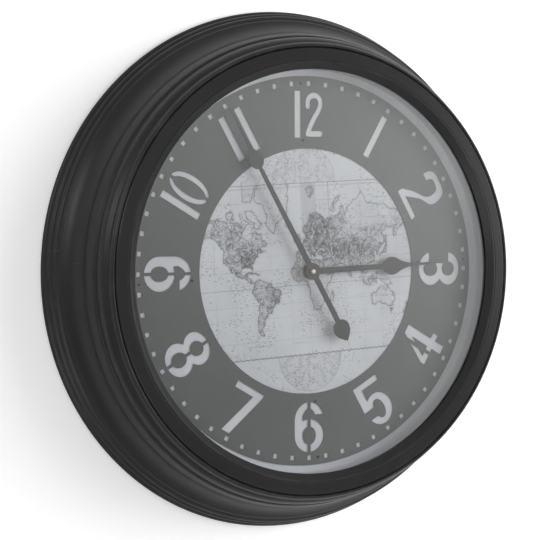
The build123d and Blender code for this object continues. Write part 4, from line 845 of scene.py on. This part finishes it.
@dataclass
class DialMap:
    """The printed paper: an old-style world map in the middle and plain paper round it.

    Places on the map are in millimetres. Each patch of tone is x, z, width, height and weight.
    """

    print_radius: float = 140.5 * MM
    sheet_radius: float = 230.9 * MM
    neck_radius: float = 4.3 * MM
    sheet_back: float = 70.5 * MM
    sheet_front: float = 70.96 * MM
    print_height: float = 71.0 * MM
    steps: int = 310
    sheet_sectors: int = 240
    degree: float = 0.8
    middle_longitude: float = 11.0
    equator: float = -15.0
    tilt: float = 3.0
    top_line: float = 100.5
    bottom_line: float = -94.5
    inset_radius: float = 41.0
    insets: tuple[Point, ...] = ((-1.3, 102.6), (-3.3, -95.7))
    meridian: float = 30.0
    meridian_foot: float = 62.0
    band_middle: float = 3.5
    band_half: float = 10.0
    fold_place: float = -9.5
    tropic: float = 23.5
    meridian_step: float = 30.0
    parallel_step: float = 20.0
    parallel_scale: float = 26.0
    row_pitch: float = 23.0
    soft_edge: float = 0.2
    ragged_reach: float = 8.5
    shore_reach: float = 3.2
    relief_gain: float = 14.0
    bend_reach: float = 0.02
    fine_line: float = 0.1
    coast_line: float = 0.25
    thin_line: float = 0.2
    line: float = 0.3
    wide_line: float = 0.35
    hatch_line: float = 0.9
    base_tone: float = 0.16
    waves: int = 6
    first_turn: float = 1.1
    golden_turn: float = 2.39996
    wave_phase: Point = (1.7, 0.9)
    wave_stretch: Point = (0.7, 0.8)
    wave_step: float = 0.35
    wave_ratio: float = 1.75
    wave_size: float = 0.62
    wave_fade: float = 1.5
    coast_reach: float = 9.0
    patches: tuple[tuple[float, ...], ...] = (
        (12.0, 47.0, 20.0, 24.0, 0.62), (-76.0, 19.0, 22.0, 14.0, 0.65),
        (72.0, 22.0, 36.0, 13.0, 0.5), (30.0, 24.0, 40.0, 14.0, 0.3),
        (-47.0, -30.0, 15.0, 26.0, 0.42), (82.0, 68.0, 34.0, 20.0, -0.3),
        (-92.0, 44.0, 26.0, 14.0, 0.35), (-79.0, 42.0, 9.0, 6.0, -0.6),
        (-46.0, 74.0, 36.0, 28.0, -0.7), (98.0, -32.0, 20.0, 14.0, -0.3),
        (8.0, -22.0, 30.0, 24.0, -0.25))

    def project(self, longitude: np.ndarray, latitude: np.ndarray) -> np.ndarray:
        """Mercator places in millimetres: x grows with longitude, z with ln tan(45 + latitude / 2).

        Args:
            longitude: Degrees east.
            latitude: Degrees north.

        Returns:
            Rows of x and z in the map's own turned frame.
        """
        stretched = np.degrees(np.log(np.tan(np.radians(45 + latitude / 2))))
        return np.stack([self.degree * (longitude - self.middle_longitude),
                         self.degree * stretched + self.equator], -1)

    def wandered(self, places: np.ndarray) -> np.ndarray:
        """Shift places by a sum of sine waves, so that straight outlines turn into ragged coasts.

        Each wave is finer and weaker than the last and turned on by the golden angle.

        Args:
            places: Rows of x and z on the map.

        Returns:
            The shifted rows.
        """
        shift = np.zeros_like(places)
        for octave in range(self.waves):
            step = self.wave_step * self.wave_ratio ** octave
            size = self.wave_size / self.wave_fade ** octave
            turn = self.first_turn + self.golden_turn * octave
            along = places @ np.array([math.cos(turn), math.sin(turn)])
            across = places @ np.array([-math.sin(turn), math.cos(turn)])
            for axis, (one, other) in enumerate(((along, across), (across, along))):
                swing = size * np.sin(step * one + self.wave_phase[axis] * octave)
                shift[:, axis] += swing * np.cos(step * self.wave_stretch[axis] * other)
        return places + shift

    def coast_distance(self, places: np.ndarray) -> np.ndarray:
        """Signed distance to the nearest coast in millimetres, above 0 on land.

        For each coast the distance to every edge is the distance to the nearest point of that
        edge, and a place is inside where a ray to its side crosses the outline an odd number
        of times.

        Args:
            places: Rows of x and z on the map.

        Returns:
            One distance for each place.
        """
        nearest = np.full(len(places), np.inf)
        land = np.zeros(len(places), bool)
        for name, outline in COASTS.items():
            points = np.array(outline, float)
            start = self.project(points[:, 0], points[:, 1])
            edge = np.roll(start, -1, axis=0) - start
            away = places[:, None, :] - start[None]
            share = np.clip((away * edge).sum(2) / (edge ** 2).sum(1), 0, 1)
            gap = np.linalg.norm(away - share[..., None] * edge, axis=2).min(1)
            end = start + edge
            straddles = (start[:, 1] > places[:, 1:2]) != (end[:, 1] > places[:, 1:2])
            rise = np.where(edge[:, 1] == 0, TINY, edge[:, 1])
            crossing = start[:, 0] + (places[:, 1:2] - start[:, 1]) * edge[:, 0] / rise
            inside = ((places[:, 0:1] < crossing) & straddles).sum(1) % 2 == 1
            nearest = np.minimum(nearest, gap)
            land = land & ~inside if name.endswith("water") else land | inside
        return np.where(land, nearest, -nearest)

    def print_tone(self, places: np.ndarray) -> np.ndarray:
        """How darkly the land is printed: a base plus soft patches that fall off as exp(-d * d).

        Args:
            places: Rows of x and z on the map.

        Returns:
            One tone for each place, about 0 for pale and 1 for dark.
        """
        tone = np.full(len(places), self.base_tone)
        for x, z, width, height, weight in self.patches:
            away = ((places[:, 0] - x) / width) ** 2 + ((places[:, 1] - z) / height) ** 2
            tone += weight * np.exp(-away)
        return np.clip(tone, 0, 1)

    def build(self) -> None:
        """Lay the printed disc and the sheet under it."""
        print_disc = disc_grid("map_print", self.print_radius, self.print_height, self.steps)
        count = len(print_disc.data.vertices)
        flat = np.empty(count * 3, np.float32)
        print_disc.data.vertices.foreach_get("co", flat)
        x, z = flat.reshape(-1, 3)[:, 0] / MM, flat.reshape(-1, 3)[:, 2] / MM
        turn = math.radians(self.tilt)
        map_x = x * math.cos(turn) + z * math.sin(turn)
        map_z = -x * math.sin(turn) + z * math.cos(turn)
        places = np.stack([map_x, map_z], 1)
        coast = self.coast_distance(self.wandered(places))
        set_field(print_disc, "coast", np.clip(coast, -self.coast_reach, self.coast_reach))
        set_field(print_disc, "tone", self.print_tone(places))
        stretched = np.radians((map_z - self.equator) / self.degree)
        latitude = np.degrees(2 * np.arctan(np.exp(stretched))) - 90
        set_field(print_disc, "map_place", np.stack([map_x, map_z, latitude], 1))
        dress(print_disc, self.print_material())
        neck, rim, back, front = self.neck_radius, self.sheet_radius, self.sheet_back, self.sheet_front
        outline = np.array([(neck, back), (rim, back), (rim, front), (neck, front)])
        sheet = turned("paper_sheet", outline, self.sheet_sectors)
        dress(sheet, self.sheet_material())
        for piece in (print_disc, sheet):
            stand_for(piece, "clock_case", "dial_paper")

    @staticmethod
    def paper(ink: Ink) -> Socket:
        """The bare paper's uneven colour."""
        place = ink.place()
        cloud = ink.noise(place, 11.0, 5.0, 0.6)
        fibre = ink.noise(place, 900.0, 2.0)
        tone = ink.mix(ink.step(cloud, 0.3, 0.72), *PAPER_TONES)
        return ink.mix(ink.spread(fibre, 0.0, 0.12), tone, FIBRE_TONE)

    @staticmethod
    def finish_paper(ink: Ink, colour: Socket) -> None:
        """Close a paper material with a matte, slightly fibrous surface."""
        fibre = ink.noise(ink.place(), 1500.0, 2.0)
        ink.close(ink.shader("BsdfPrincipled", {
            "Base Color": colour, "Roughness": ink.spread(fibre, 0.7, 0.95),
            "Normal": ink.bump(fibre, 0.1, PRINT_RELIEF)}))

    def sheet_material(self) -> bpy.types.Material:
        """Plain paper under the dial ring."""
        material, ink = new_material("plain_paper")
        self.finish_paper(ink, self.paper(ink))
        return material

    def print_material(self) -> bpy.types.Material:
        """The map in dark grey ink on paper.

        Returns:
            A material that draws coasts, land shading, borders, a grid, frame lines, two inset
            circles and scattered marks from the sheet's own fields.
        """
        material, ink = new_material("map_print")
        place = ink.place()
        x, z, latitude = ink.split(ink.field("map_place", "Vector"))
        colour = self.paper(ink)

        def lay(mask: Socket, weight: Value, shade: Colour) -> None:
            """Print a mask over the colour so far."""
            nonlocal colour
            colour = ink.mix(ink.times(mask, weight), colour, shade)

        def thin(distance: Socket, width: float, fade: float = self.line) -> Socket:
            """Ink within a distance of a line."""
            return ink.step(distance, width + fade, width)

        def rule(value: Socket, spacing: float, scale: float, width: float) -> Socket:
            """Thin lines where a coordinate is a multiple of a spacing."""
            turns = ink.math("ADD", ink.math("DIVIDE", value, spacing), 0.5)
            return thin(ink.times(ink.gap(ink.math("FRACT", turns), 0.5), scale), width)

        def ring(middle: Point) -> Socket:
            """Distance outwards from an inset circle."""
            squares = [ink.math("POWER", ink.less(a, b), 2.0) for a, b in zip((x, z), middle)]
            return ink.less(ink.math("SQRT", ink.math("ADD", *squares)), self.inset_radius)

        top, bottom, soft = self.top_line, self.bottom_line, self.soft_edge
        below = ink.step(z, top + soft, top - soft)
        within = ink.times(below, ink.step(z, bottom - soft, bottom + soft))
        ragged = ink.less(ink.noise(place, 130.0, 6.0, 0.75), 0.5)
        coast = ink.math("MULTIPLY_ADD", ragged, self.ragged_reach, ink.field("coast"))
        land = ink.times(ink.step(coast, -0.15, 0.25), within)
        tone = ink.field("tone")
        shift = ink.node("TexNoise", {"Vector": place, "Scale": 120.0, "Detail": 4.0})
        bent = ink.node("VectorMath", (shift.outputs["Color"], (self.bend_reach,) * 3, place),
                        operation="MULTIPLY_ADD").outputs[0]

        # Shaded water along the coasts
        shore = ink.times(ink.step(coast, -self.shore_reach, -0.2), ink.step(coast, 0.1, -0.1))
        lay(ink.times(shore, ink.noise(place, 240.0, 3.0)), 0.5, INK_DARK)

        # Land: tone, relief, pale plains, borders, rivers and the coast line
        cloud = ink.math("MULTIPLY_ADD", ink.noise(place, 34.0, 5.0, 0.7), 1.1, -0.55)
        depth = ink.math("ADD", tone, cloud, clamp=True)
        lay(land, ink.spread(depth, 0.02, 0.58), INK_DARK)
        relief = ink.noise(bent, 300.0, 5.0, 0.8, 0.6)
        above = ink.less(relief, ink.spread(depth, 0.6, 0.46))
        raised = ink.math("MULTIPLY", above, self.relief_gain, clamp=True)
        lay(ink.times(raised, land), 0.8, INK_BLACK)
        pale = ink.step(ink.noise(place, 150.0, 4.0, 0.7), 0.56, 0.7)
        lay(ink.times(pale, land), ink.spread(depth, 0.75, 0.25), INK_PALE)
        strong = ink.times(ink.spread(depth, 0.4, 0.95), ink.step(tone, 0.0, 0.14))
        border = ink.cells(bent, 74.0, "DISTANCE_TO_EDGE")
        lay(ink.times(ink.step(border, 0.06, 0.02), land), strong, INK_BLACK)
        stream = ink.gap(ink.noise(bent, 95.0, 5.0, 0.65), 0.5)
        lay(ink.times(ink.step(stream, 0.03, 0.01), land), strong, INK_BLACK)
        edge = ink.times(thin(ink.math("ABSOLUTE", coast), self.coast_line, 0.5), within)
        lay(edge, ink.spread(tone, 0.6, 1.0), INK_BLACK)

        # Grid, equator, tropics and frame lines
        spacing = self.meridian_step * self.degree
        grid = ink.most(rule(x, spacing, spacing, self.fine_line),
                        rule(latitude, self.parallel_step, self.parallel_scale, self.fine_line))
        lay(ink.times(grid, within), 0.26, INK_GRID)
        equator = thin(ink.gap(z, self.equator), self.thin_line)
        tropic = thin(ink.gap(ink.math("ABSOLUTE", latitude), self.tropic), self.wide_line)
        dashed = ink.times(tropic, ink.dashes(ink.times(x, 0.35), 0.4, 0.5), 0.4)
        lay(ink.most(ink.times(equator, 0.5), dashed), within, INK_MARK)
        top_gap, low_gap = ink.gap(z, top), ink.gap(z, bottom)
        slant = ink.math("MULTIPLY_ADD", x, 0.16, ink.times(z, 0.4))
        hatched = ink.times(thin(low_gap, self.hatch_line, 0.2), ink.dashes(slant, 0.35, 0.5))
        upper_line = ink.times(thin(top_gap, self.wide_line), 0.75)
        lower_line = ink.times(thin(low_gap, self.thin_line), 0.6)
        lay(ink.most(upper_line, hatched, lower_line), 0.7, INK_LINE)

        # Inset circles above and below the frame
        outside = ink.less(1.0, within)
        upper, lower = (ring(middle) for middle in self.insets)
        circles = ink.most(*(thin(ink.math("ABSOLUTE", away), self.line) for away in (upper, lower)))
        tint = ink.times(ink.step(ink.math("MINIMUM", upper, lower), 0.0, -0.6), outside)
        polar = ink.gap(ink.noise(place, 85.0, 4.0, 0.65), 0.52)
        polar_lines = ink.times(ink.step(polar, 0.03, 0.01), tint)
        lay(tint, 0.1, INK_TINT)
        lay(ink.most(ink.times(circles, outside), polar_lines), 0.34, INK_MARK)

        # Marks on the sea, a darker band, a meridian, dotted rows, spots and a fold
        flecks = ink.cells(ink.mapped(place, (1.0, 1.0, 3.0)), 200.0)
        sparse = ink.step(ink.noise(place, 30.0, 3.0), 0.44, 0.58)
        lay(ink.times(ink.step(flecks, 0.38, 0.2), sparse), 0.6, INK_MARK)
        beside = ink.gap(x, self.band_middle)
        band = ink.times(ink.step(beside, self.band_half + 0.5, self.band_half - 0.5),
                         ink.step(z, 38.0, 52.0), within)
        lay(band, 0.22, INK_DARK)
        row = ink.gap(ink.math("FRACT", ink.math("DIVIDE", z, self.row_pitch)), 0.5)
        dots = ink.times(ink.dashes(ink.times(x, 0.3), 0.45, 0.55), ink.step(row, 0.03, 0.012), within)
        lay(ink.times(dots, ink.step(ink.noise(place, 16.0, 2.0), 0.5, 0.55)), 0.6, INK_MARK)
        foot = ink.step(z, self.meridian_foot, self.meridian_foot + 4.0)
        lay(ink.times(thin(ink.gap(x, self.meridian), self.line), foot, within), 0.6, INK_MARK)
        some = ink.step(ink.noise(place, 40.0, 2.0), 0.5, 0.56)
        lay(ink.times(ink.step(ink.cells(place, 72.0), 0.1, 0.05), some), 0.6, INK_MARK)
        lay(thin(ink.gap(x, self.fold_place), self.line, 0.6), 0.22, INK_FOLD)
        self.finish_paper(ink, colour)
        return material


class Movement:
    """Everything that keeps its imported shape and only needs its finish."""

    def build(self) -> None:
        """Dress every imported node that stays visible."""
        for finish in NODE_FINISHES:
            material = finish.build()
            for name in finish.nodes:
                dress(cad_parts[name], material)
                LOG.info("node %s is finished in %s", name, finish.name)


@dataclass(frozen=True)
class SoftBox:
    """A square lamp that points at the clock."""

    name: str
    place: Point3
    size: float
    watts: float
    mirrored: bool = True

    def build(self) -> None:
        """Hang the lamp. One that isn't mirrored stays out of the glossy paint."""
        light = bpy.data.lights.new(self.name, "AREA")
        light.shape = "SQUARE"
        light.size = self.size
        light.energy = self.watts
        lamp = bpy.data.objects.new(self.name, light)
        lamp.location = self.place
        lamp.visible_glossy = self.mirrored
        lamp.rotation_euler = (-Vector(self.place)).to_track_quat("-Z", "Y").to_euler()
        bpy.context.scene.collection.objects.link(lamp)


@dataclass
class VeilCard:
    """A bright card in front of the clock that only the glass and the paint reflect.

    It stands where the camera's view, mirrored in the glass, goes. It is brighter to the right
    and to the top, as the haze over the photographed dial is, and fades at both edges.
    """

    low: Point = (0.4, -0.8)
    high: Point = (2.1, 0.9)
    depth: float = -2.2
    rise: Point = (-0.55, 0.5)
    rightward: Point = (0.55, 1.75)
    top_fade: Point = (0.7, 0.42)
    right_fade: Point = (1.85, 1.6)
    levels: Point3 = (0.16, 0.78, 0.42)

    def build(self) -> None:
        """Hang the card and let it shine for glossy rays alone."""
        (left, low), (right, high), depth = self.low, self.high, self.depth
        corners = np.array([(left, depth, low), (right, depth, low), (right, depth, high),
                            (left, depth, high)])
        card = make_object("veil_card", corners, SQUARE)
        material, ink = new_material("veil_card")
        x, _, z = ink.split(ink.place())
        base, upper, side = self.levels
        level = ink.math("MULTIPLY_ADD", ink.step(z, *self.rise), upper, base)
        level = ink.math("MULTIPLY_ADD", ink.step(x, *self.rightward), side, level)
        level = ink.times(level, ink.step(z, *self.top_fade), ink.step(x, *self.right_fade))
        glow = ink.shader("Emission", {"Strength": level})
        glossy = ink.rays()["Is Glossy Ray"]
        ink.close(ink.shader("MixShader", (glossy, ink.shader("BsdfTransparent"), glow)))
        dress(card, material)


@dataclass
class Studio:
    """The wall, the floor, the lights and the camera."""

    focal_pixels: float = 1783.05
    picture: float = 540.0
    sensor: float = 36.0
    azimuth: float = -28.569
    elevation: float = 1.7957
    roll: float = -0.1334
    offset: Point3 = (0.21426, -0.00686, 9.51823)
    minute_circle: float = 0.213
    dial_height: float = 0.071
    clip: Point = (0.05, 50.0)
    wall_size: float = 12.0
    wall_place: float = 0.0006
    wall_tone: float = 0.83
    wall_glow: float = 0.38
    hole_radius: float = 0.28
    hole_steps: int = 96
    floor_drop: float = 1.6
    floor_tone: float = 0.45
    floor_glow: float = 0.6
    chalk_scale: float = 3.0
    chalk_step: float = 0.02
    sky: float = 0.42
    lamps: tuple[SoftBox, ...] = (
        SoftBox("key_box", (2.7, -2.0, 0.75), 2.4, 96.0, mirrored=False),
        SoftBox("side_box", (2.9, -1.4, 0.3), 1.1, 13.0),
        SoftBox("left_box", (-2.2, -1.15, 0.9), 0.8, 5.0),
        SoftBox("low_box", (-1.3, -2.4, -1.1), 1.2, 6.5),
        SoftBox("back_box", (0.6, 2.6, 1.2), 1.6, 30.0))

    def camera(self) -> None:
        """Stand the camera where the photograph was taken.

        The view axes come from the azimuth, the elevation and a small roll, and the offset is the
        dial centre's place in those axes, in units of the minute circle's radius.
        """
        angles = (self.azimuth, self.elevation, self.roll)
        azimuth, elevation, roll = (math.radians(angle) for angle in angles)
        back = Vector((math.sin(azimuth) * math.cos(elevation),
                       -math.cos(azimuth) * math.cos(elevation), math.sin(elevation)))
        right = (-back).cross(Vector((0, 0, 1))).normalized()
        up = right.cross(-back)
        across = right * math.cos(roll) + up * math.sin(roll)
        upward = up * math.cos(roll) - right * math.sin(roll)
        shift = [value * self.minute_circle for value in self.offset]
        place = Vector((0, -self.dial_height, 0))
        place -= across * shift[0] + upward * shift[1] - back * shift[2]
        lens = bpy.data.cameras.new("photo_camera")
        lens.sensor_width = self.sensor
        lens.lens = self.sensor * self.focal_pixels / self.picture
        lens.clip_start, lens.clip_end = self.clip
        camera = bpy.data.objects.new("photo_camera", lens)
        turn = Matrix((across, upward, back)).transposed().to_4x4()
        camera.matrix_world = Matrix.Translation(place) @ turn
        bpy.context.scene.collection.objects.link(camera)
        bpy.context.scene.camera = camera

    def wall_with_hole(self) -> tuple[np.ndarray, np.ndarray]:
        """The wall's points and faces, with a round hole that the clock covers.

        The hole lets light from behind reach the clock's back. Each outer point lies where its
        angle's ray leaves the wall's rectangle.

        Returns:
            Points and faces that face the viewer.
        """
        steps = self.hole_steps
        angle = np.arange(steps) * TAU / steps
        cosine, sine = np.cos(angle), np.sin(angle)
        half = self.wall_size / 2
        upright = np.where(sine > 0, half, self.floor_drop)
        reach = np.minimum(half / np.maximum(np.abs(cosine), TINY),
                           upright / np.maximum(np.abs(sine), TINY))
        depth = np.full(steps, self.wall_place)
        rings = [np.stack([r * cosine, depth, r * sine], 1) for r in (self.hole_radius, reach)]
        first = np.arange(steps)
        following = (first + 1) % steps
        faces = np.stack([first, first + steps, following + steps, following], 1)
        return np.concatenate(rings), faces

    def backdrop(self, name: str, points: np.ndarray, faces: np.ndarray, tone: float,
                 strength: float) -> None:
        """A pale plane that is seen and casts shade from its front only.

        Args:
            name: The object's name.
            points: Its points.
            faces: Its faces, in order seen from the front.
            tone: How much light it throws back.
            strength: Light added for the camera alone.
        """
        plane = make_object(name, points, faces)
        material, ink = new_material(name)
        chalk = ink.noise(ink.place(), self.chalk_scale, 3.0)
        chalked = ink.mix(chalk, (tone,) * 3, (tone + self.chalk_step,) * 3)
        diffuse = ink.shader("BsdfDiffuse", (chalked,))
        rays = ink.rays()
        seen = ink.most(rays["Is Camera Ray"], rays["Is Transmission Ray"])
        glow = ink.shader("Emission", {"Strength": ink.times(seen, strength)})
        front = ink.shader("AddShader", (diffuse, glow))
        behind = ink.node("NewGeometry").outputs["Backfacing"]
        ink.close(ink.shader("MixShader", (behind, front, ink.shader("BsdfTransparent"))))
        dress(plane, material)

    def world(self) -> None:
        """Even white light from all round, plain white to the camera."""
        world = bpy.data.worlds.new("studio")
        world.use_nodes = True
        ink = Ink(world.node_tree)
        background = world.node_tree.nodes["Background"]
        background.inputs["Color"].default_value = (1.0, 1.0, 1.0, 1.0)
        strength = ink.spread(ink.rays()["Is Camera Ray"], self.sky, 1.0)
        ink.feed(background.inputs["Strength"], strength)
        bpy.context.scene.world = world

    def build(self) -> None:
        """Set the stage, the light and the camera."""
        half, drop = self.wall_size / 2, self.floor_drop
        self.backdrop("back_wall", *self.wall_with_hole(), self.wall_tone, self.wall_glow)
        corners = np.array([(-half, -half, -drop), (half, -half, -drop), (half, half, -drop),
                            (-half, half, -drop)])
        self.backdrop("pale_floor", corners, SQUARE, self.floor_tone, self.floor_glow)
        self.world()
        VeilCard().build()
        for lamp in self.lamps:
            lamp.build()
        self.camera()
        bpy.context.scene.view_settings.view_transform = "Standard"


def main() -> None:
    """Build every sub-assembly in order, then the studio."""
    logging.basicConfig(level=logging.INFO, format="%(message)s")
    for assembly in (CaseMoulding(), FrontBezel(), GlassPane(), DialMap(), Movement(), Studio()):
        assembly.build()
        LOG.info("built %s", type(assembly).__name__)


if __name__ == "__main__":
    main()
